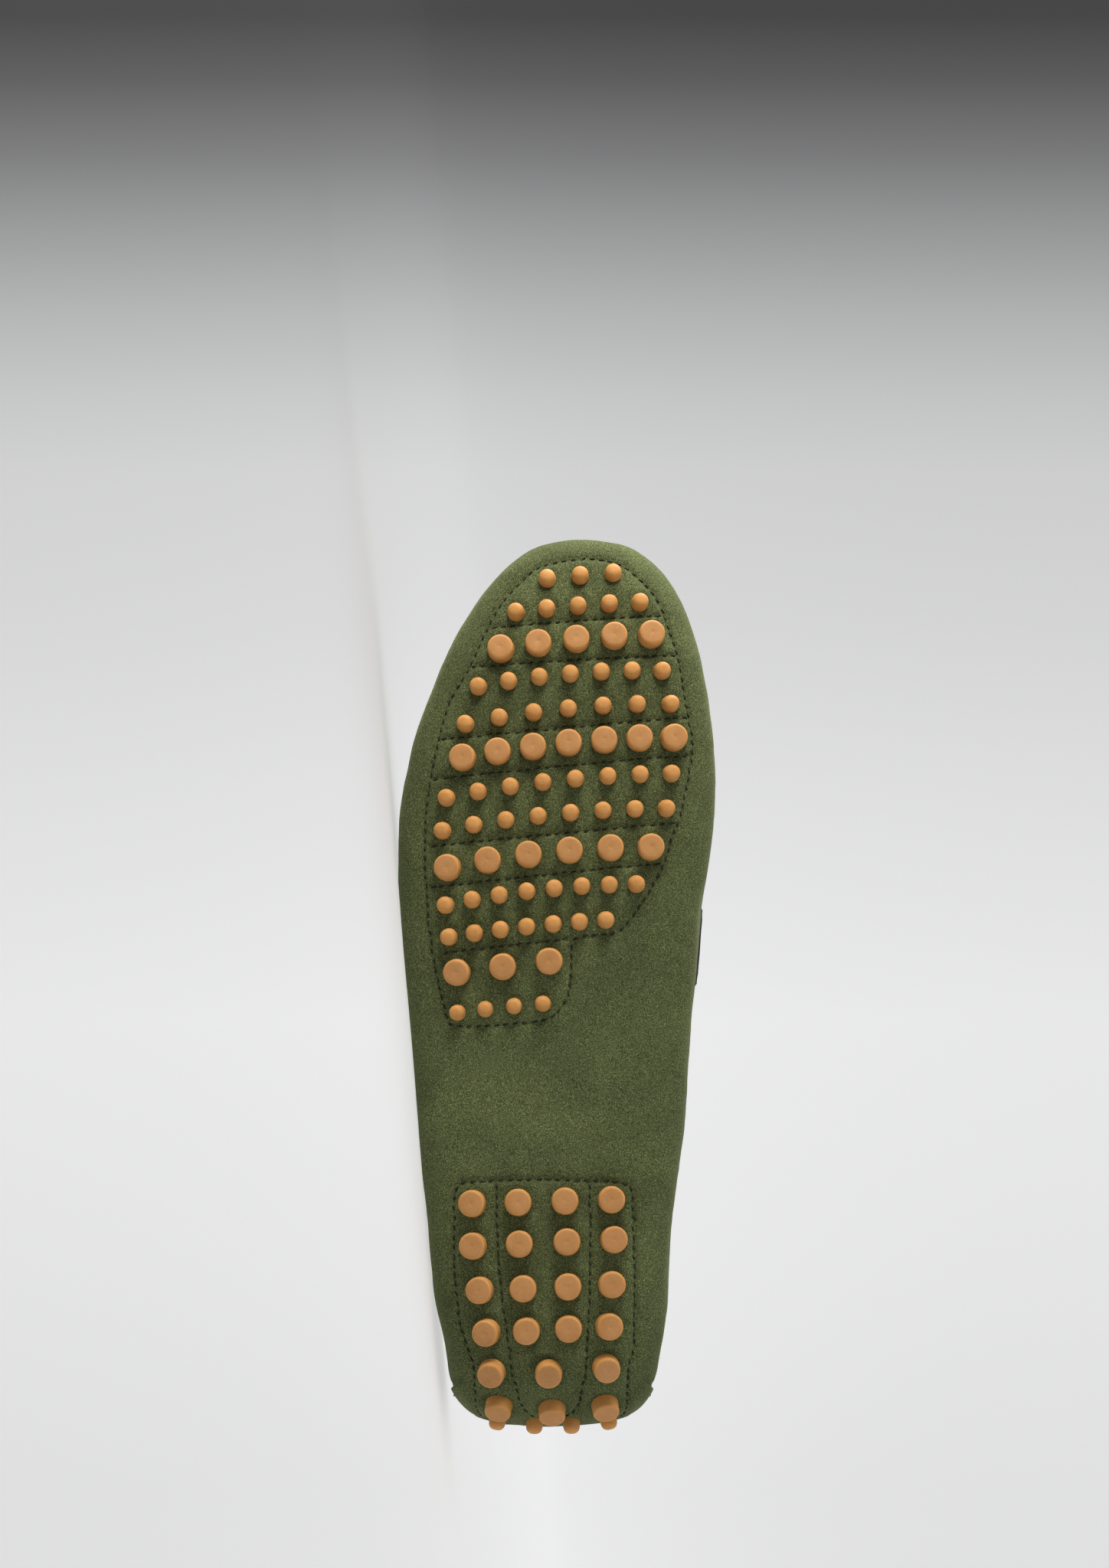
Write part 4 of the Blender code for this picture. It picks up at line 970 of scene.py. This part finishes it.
# FOOTBED
# A loose sock of tan leather over thin foam, cut a little short of the side walls, with a rounded
# edge and a raised pad under the heel.
FOOTBED_THICK, FOOTBED_EDGE, FOOTBED_HEEL_CUT = 2.4, 0.8, 0.09
FOOTBED_DEPTH = SUEDE_THICK + PLATE_GAP + PLATE_THICK + 0.75
HEEL_PAD_RISE = 0.8
FOOTBED_DEEP, FOOTBED_TAN, FOOTBED_LIGHT = "#94703f", "#b28c5c", "#c7a477"
footbed_ways = ways_round(2.4)
reaches = FOOTBED_EDGE - FOOTBED_HEEL_CUT * (4.0 - spokes(footbed_ways)["corner"])
shares = np.linspace(0.0, 1.0, 22)
grid = np.array([level_points([way], shares * reach)[0] for way, reach in zip(footbed_ways, reaches)])
normals = nearest_on(bare_tree, grid.reshape(-1, 3))[1].reshape(grid.shape)
lower = grid - FOOTBED_DEPTH * normals
edge_round = np.sqrt(np.clip(1 - np.maximum(0, (shares - 0.97) / 0.03) ** 2, 0, 1))
heel_pad = HEEL_PAD_RISE * step_up(-grid[..., 1], -78, -70) * step_up(-shares[None, :], -0.86, -0.78)
upper_side = lower - (FOOTBED_THICK * (0.4 + 0.6 * edge_round)[None, :] + heel_pad)[..., None] * normals
ids = joined_ids(grid, (0,))
count, faces = ids.size, []
for i in range(len(ids)):
    pair = ids[[i, (i + 1) % len(ids)]]
    for face in spoke_faces(pair):
        faces += [face, tuple(corner + count for corner in reversed(face))]
    a, b = pair[:, -1].tolist()
    faces.append((b, a, a + count, b + count))
used, faces = only_used(faces)
points = np.vstack([lower.reshape(-1, 3), upper_side.reshape(-1, 3)])[used]
footbed_leather = smooth_leather("tan_sock_leather", FOOTBED_DEEP, FOOTBED_TAN, FOOTBED_LIGHT, 0.9, 0.5)
footbed = piece("footbed", points, faces, footbed_leather)
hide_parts("insole")


# TOPLINE BINDING
# A strip of the same suede, 11 mm wide, folded over the top edge of the upper and sewn through
# with one row of green thread. It runs from one side of the throat round the heel to the other.
BINDING_PROFILE = ((0.25, -6.0), (0.75, -5.9), (1.0, -5.5), (1.15, -4.4), (0.95, -3.9), (1.15, -3.4),
                   (1.2, -1.2), (1.05, 0.0), (0.45, 0.75), (-0.9, 1.05), (-2.1, 0.75), (-2.75, 0.0),
                   (-2.9, -1.2), (-2.85, -3.4), (-2.75, -5.5), (-2.4, -5.9), (-1.9, -6.0))
# Stitches of the binding and round the tongue: pitch, length and thread radius
TRIM_STITCH = (2.9, 2.2, 0.3)
binding_ways = np.linspace(THROAT_WAY - 3.0, FULL_LOOP - THROAT_WAY + 3.0, 420)


def wall_frames(ways):
    """Top edge of the wall, its outward direction and the direction up the wall."""
    edges = np.array([level_points([way], [1.94, 2.0])[0] for way in ways])
    climb = unit(edges[:, 1] - edges[:, 0])
    along = unit(np.gradient(edges[:, 1], axis=0))
    outward = unit(np.cross(climb, along))
    middle = np.array([0.0, 110.0, 40.0])
    flip = np.sign(np.sum(outward * (edges[:, 1] - middle) * np.array([1, 0.2, 0]), axis=1))
    return edges[:, 1], outward * np.where(flip == 0, 1, flip)[:, None], climb


edge, outward, climb = wall_frames(binding_ways)
lap_rise = 0.7 * step_up(folded(binding_ways), LAP_WAY - 1, LAP_WAY + 1)
rings = [edge + (across + (lap_rise if across > 0 else 0 * lap_rise))[:, None] * outward + up * climb
         for across, up in BINDING_PROFILE]
points = np.stack(rings, 1)
points += (0.10 * rolling(points.reshape(-1, 3), 6.0, 7)).reshape(len(points), -1, 1) * outward[:, None]
faces = tube_faces(*points.shape[:2])
binding_points = above_floor(points.reshape(-1, 3))
binding_suede = suede("binding_suede", "#34381f", "#484c2f", "#5f6440")
binding = piece("topline_binding", binding_points, faces, binding_suede)
binding_tree = BVHTree.FromPolygons(binding_points.tolist(), faces)
sew("binding_stitching", [edge + 1.3 * outward - 3.9 * climb], TRIM_STITCH, binding_tree, green_thread, 40)


# APRON SEAM
# The moccasin seam: side wall and apron are pinched together into a raised ridge and sewn by
# hand with thick waxed thread, one slanting stitch over the ridge every 5.5 mm.
SEAM_RADIUS, SEAM_END_Y, SEAM_PITCH, SEAM_SIDES = 1.75, 182.0, GATHER_PITCH, 18
SEAM_LIFT, HAND_THREAD_RADIUS, HAND_SLANT = 0.15, 0.42, 1.4
seam_end = float(np.interp(-SEAM_END_Y, -LAST_OF["spine_y"][4:9], STATION[4:9]))
seam_ways = np.linspace(-seam_end, seam_end, 640) % FULL_LOOP
edge, outward, climb = wall_frames(seam_ways)
inner_step = np.array([level_points([way], [2.12])[0, 0] for way in seam_ways])
ridge_up = unit(unit(edge - inner_step) + climb)
ridge_side = unit(np.cross(unit(np.gradient(edge, axis=0)), ridge_up))
run = run_along(edge)
seam_count = int(run[-1] / SEAM_PITCH)
pinch = 0.5 + 0.5 * np.cos(2 * pi * run / run[-1] * seam_count)[:, None]
points, faces = tube(edge + SEAM_LIFT * ridge_up, SEAM_RADIUS * (0.98 - 0.16 * pinch) * ridge_side,
                     SEAM_RADIUS * (1.12 - 0.30 * pinch) * ridge_up, SEAM_SIDES)
points += 0.16 * rolling(points, 3.5, 9)[:, None] * np.repeat(ridge_up, SEAM_SIDES, axis=0)
seam = piece("apron_seam", points, [face[:1] + face[:0:-1] for face in faces], green_suede)
over = np.linspace(radians(-28), radians(208), 13)
sewn = []
for i in range(seam_count):
    middle_run = (i + 0.5) / seam_count * run[-1]
    place = np.interp(middle_run + HAND_SLANT * (over - pi / 2) / pi, run, np.arange(len(run)))
    near = np.clip(place.astype(int), 0, len(run) - 2)
    share = (place - near)[:, None]
    middle = edge[near] * (1 - share) + edge[near + 1] * share
    up, side = ridge_up[near], ridge_side[near]
    around = np.sin(over)[:, None] * up + np.cos(over)[:, None] * side
    arc = middle + SEAM_LIFT * up + 0.93 * SEAM_RADIUS * around
    normal = unit(arc - middle)
    aside = unit(np.cross(normal, unit(np.gradient(arc, axis=0))))
    sewn.append(tube(arc, HAND_THREAD_RADIUS * aside, HAND_THREAD_RADIUS * normal, 8))
hand_thread = waxed_thread("hand_sewing_thread", "#262b18", "#4a5033")
piece("apron_hand_stitches", *gather(sewn), hand_thread)


# TONGUE
# A single layer of suede with its smooth flesh side down, sewn in under the apron and shaped
# round at its free end.
TONGUE_ROWS = ((188.0, 21.0), (176.0, 22.0), (164.0, 22.5), (152.0, 22.5), (140.0, 22.0), (130.0, 18.5),
               (126.0, 13.0))
TONGUE_THICK, TONGUE_GAP = 1.8, 0.6
TONGUE_LENGTHWISE, TONGUE_ACROSS = 46, 31
# Row of points where the tongue's stitches start, and how many rows they keep from its edge
SEWN_FROM, HEM = 20, 2


def side_ways(y, outer):
    """The ways round of the spokes that start from the spine at these y."""
    way = np.interp(-np.asarray(y, float), -LAST_OF["spine_y"][3:15], STATION[3:15])
    return np.where(outer, way, FULL_LOOP - way)


def section_point(y, level, outer):
    """A point of the cross-section at y: side wall for levels 0 to 1, apron for levels 1 to 2."""
    return level_points([float(side_ways(y, outer))], [level + 1])[0, 0]


def section_normal(y, level, outer):
    """The outward direction of the side wall or the apron."""
    ahead = section_point(y + 1, level, outer) - section_point(y - 1, level, outer)
    up = section_point(y, level + 0.03, outer) - section_point(y, level - 0.03, outer)
    normal = unit(np.cross(ahead, up))
    return normal if outer else -normal


tongue_y = np.linspace(TONGUE_ROWS[0][0], TONGUE_ROWS[-1][0], TONGUE_LENGTHWISE)
half_widths = np.interp(-tongue_y, [-y for y, _ in TONGUE_ROWS], [half for _, half in TONGUE_ROWS])
points, normals = [], []
for y, half in zip(tongue_y, half_widths):
    at = spokes(side_ways([y], True))
    reach = float(np.linalg.norm(at["outline"][0] - at["spine"][0]) - at["edge_in"][0])
    for across in np.linspace(half, -half, TONGUE_ACROSS):
        share = 1 - abs(across) / reach
        points.append(section_point(y, 1 + share, across >= 0))
        normals.append(section_normal(y, 1 + min(share, 0.97), across >= 0))
smoothed = unit(np.array(normals)).reshape(TONGUE_LENGTHWISE, TONGUE_ACROSS, 3)
for _ in range(3):
    smoothed[:, 1:-1] = unit(smoothed[:, :-2] + smoothed[:, 1:-1] + smoothed[:, 2:])
normals = smoothed.reshape(-1, 3)
points = np.array(points) - (SUEDE_THICK + TONGUE_GAP) * normals
points += (0.22 * rolling(points, 15.0, 12) - 0.1)[:, None] * normals
tongue_points, tongue_faces = slab(points, normals, TONGUE_ACROSS, TONGUE_THICK)
tongue_faces = [face[::-1] for face in tongue_faces]
tongue = piece("tongue_leaf", tongue_points, tongue_faces, green_suede)
bevel = tongue.modifiers.new("soft_edge", "BEVEL")
bevel.width, bevel.segments, bevel.limit_method, bevel.angle_limit = 0.45 * MM, 2, "ANGLE", radians(50)
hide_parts("tongue")
leaf = points.reshape(TONGUE_LENGTHWISE, TONGUE_ACROSS, 3)
hem_line = np.vstack([leaf[SEWN_FROM:-HEM, HEM], leaf[-HEM - 1, HEM:-HEM],
                      leaf[-HEM - 1:SEWN_FROM - 1:-1, -HEM - 1]])
tongue_tree = BVHTree.FromPolygons(tongue_points.tolist(), tongue_faces)
sew("tongue_stitching", [hem_line], TRIM_STITCH, tongue_tree, green_thread, 50)


# SADDLE STRAP
# A band of dark calf, 24 to 26 mm wide, over the instep. Its long edges are skived, turned and
# top-stitched, and both ends are sewn flat to the side walls with a box of stitches.
STRAP_THICK, STRAP_GAP = 1.3, 0.3
STRAP_OUTER_Z, STRAP_INNER_Z = 42.0, 27.0
STRAP_END_Y, STRAP_TOP_SHIFT = 149.0, 18.0
STRAP_END_HALF, STRAP_TOP_HALF, STRAP_END_SLANT = 13.0, 12.0, 6.0
WALL_STEPS, TOP_STEPS, STRAP_COLUMNS = 26, 22, 25
# Mean half width, swell of the middle, and the edge groove: how far in, how deep, half its width
STRAP_HALF, STRAP_SWELL, EDGE_LINE, EDGE_GROOVE, EDGE_GROOVE_HALF = 12.5, 0.35, 2.6, 0.30, 0.6
STRAP_STITCH = (2.8, 2.1, 0.28)


def strap_side(outer):
    """Rows of points and directions from one end of the strap to the middle of the instep."""
    run = [("wall", share) for share in np.linspace(0.0, 1.0, WALL_STEPS)]
    run += [("apron", share) for share in np.linspace(0.0, 1.0, TOP_STEPS)[1:]]
    low_z = STRAP_OUTER_Z if outer else STRAP_INNER_Z
    wall_levels = np.linspace(1, 2, 60)
    rows, directions = [], []
    for i, (part, share) in enumerate(run):
        rise = sin(pi / 2 * i / (len(run) - 1))
        middle = STRAP_END_Y + STRAP_TOP_SHIFT * rise
        half = STRAP_END_HALF + (STRAP_TOP_HALF - STRAP_END_HALF) * rise
        row, row_out = [], []
        for y in np.linspace(middle - half, middle + half, STRAP_COLUMNS):
            heights = level_points([float(side_ways(y, outer))], wall_levels)[0][:, 2]
            end_z = low_z + STRAP_END_SLANT * (y - middle + half) / (2 * half)
            lowest = float(np.interp(end_z, heights, wall_levels)) - 1
            level = lowest + share * (1 - lowest) if part == "wall" else 1 + share
            normal = section_normal(y, min(level, 1.97), outer)
            row.append(section_point(y, level, outer) + STRAP_GAP * normal)
            row_out.append(normal)
        rows.append(row)
        directions.append(row_out)
    return rows, directions


outer_rows, outer_out = strap_side(True)
inner_rows, inner_out = strap_side(False)
strap_rows = np.array(outer_rows + inner_rows[-2::-1])
strap_out = np.array(outer_out + inner_out[-2::-1])
for _ in range(6):
    strap_out[1:-1] = unit(strap_out[:-2] + strap_out[1:-1] + strap_out[2:])
from_edge = (1 - np.abs(np.linspace(-1, 1, STRAP_COLUMNS)[None, :])) * STRAP_HALF
bulge = STRAP_THICK + STRAP_SWELL * step_up(from_edge, 0.0, 3.5)
bulge -= EDGE_GROOVE * np.exp(-((from_edge - EDGE_LINE) / EDGE_GROOVE_HALF) ** 2)
bulge *= 0.55 + 0.45 * np.sqrt(1 - (1.0 - np.minimum(from_edge, 1.0)) ** 2)
top = strap_rows + bulge[..., None] * strap_out
top += (0.12 * rolling(top.reshape(-1, 3), 9.0, 14)).reshape(len(top), -1, 1) * strap_out
outer_face = top.reshape(-1, 3)
strap_points, strap_faces = slab(outer_face, outer_face - strap_rows.reshape(-1, 3), STRAP_COLUMNS, 1.0)
dark_calf = smooth_leather("dark_box_calf", "#1a1417", "#241b20", "#30252a", 0.7, 0.6)
strap = piece("strap_leather", strap_points, strap_faces, dark_calf)
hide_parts("saddle_strap")
strap_tree = BVHTree.FromPolygons(outer_face.tolist(), [f for f in strap_faces if max(f) < len(outer_face)])
columns_in = EDGE_LINE / STRAP_HALF * (STRAP_COLUMNS - 1) / 2
lines = []
for column in (columns_in, STRAP_COLUMNS - 1 - columns_in):
    low, part = int(column), column - int(column)
    lines.append(top[1:-1, low] * (1 - part) + top[1:-1, low + 1] * part)
lines += [top[2, 3:-3], top[-3, 3:-3]]
strap_thread = waxed_thread("strap_thread", "#120e10", "#2c2428")
sew("strap_stitching", lines, STRAP_STITCH, strap_tree, strap_thread, 60)
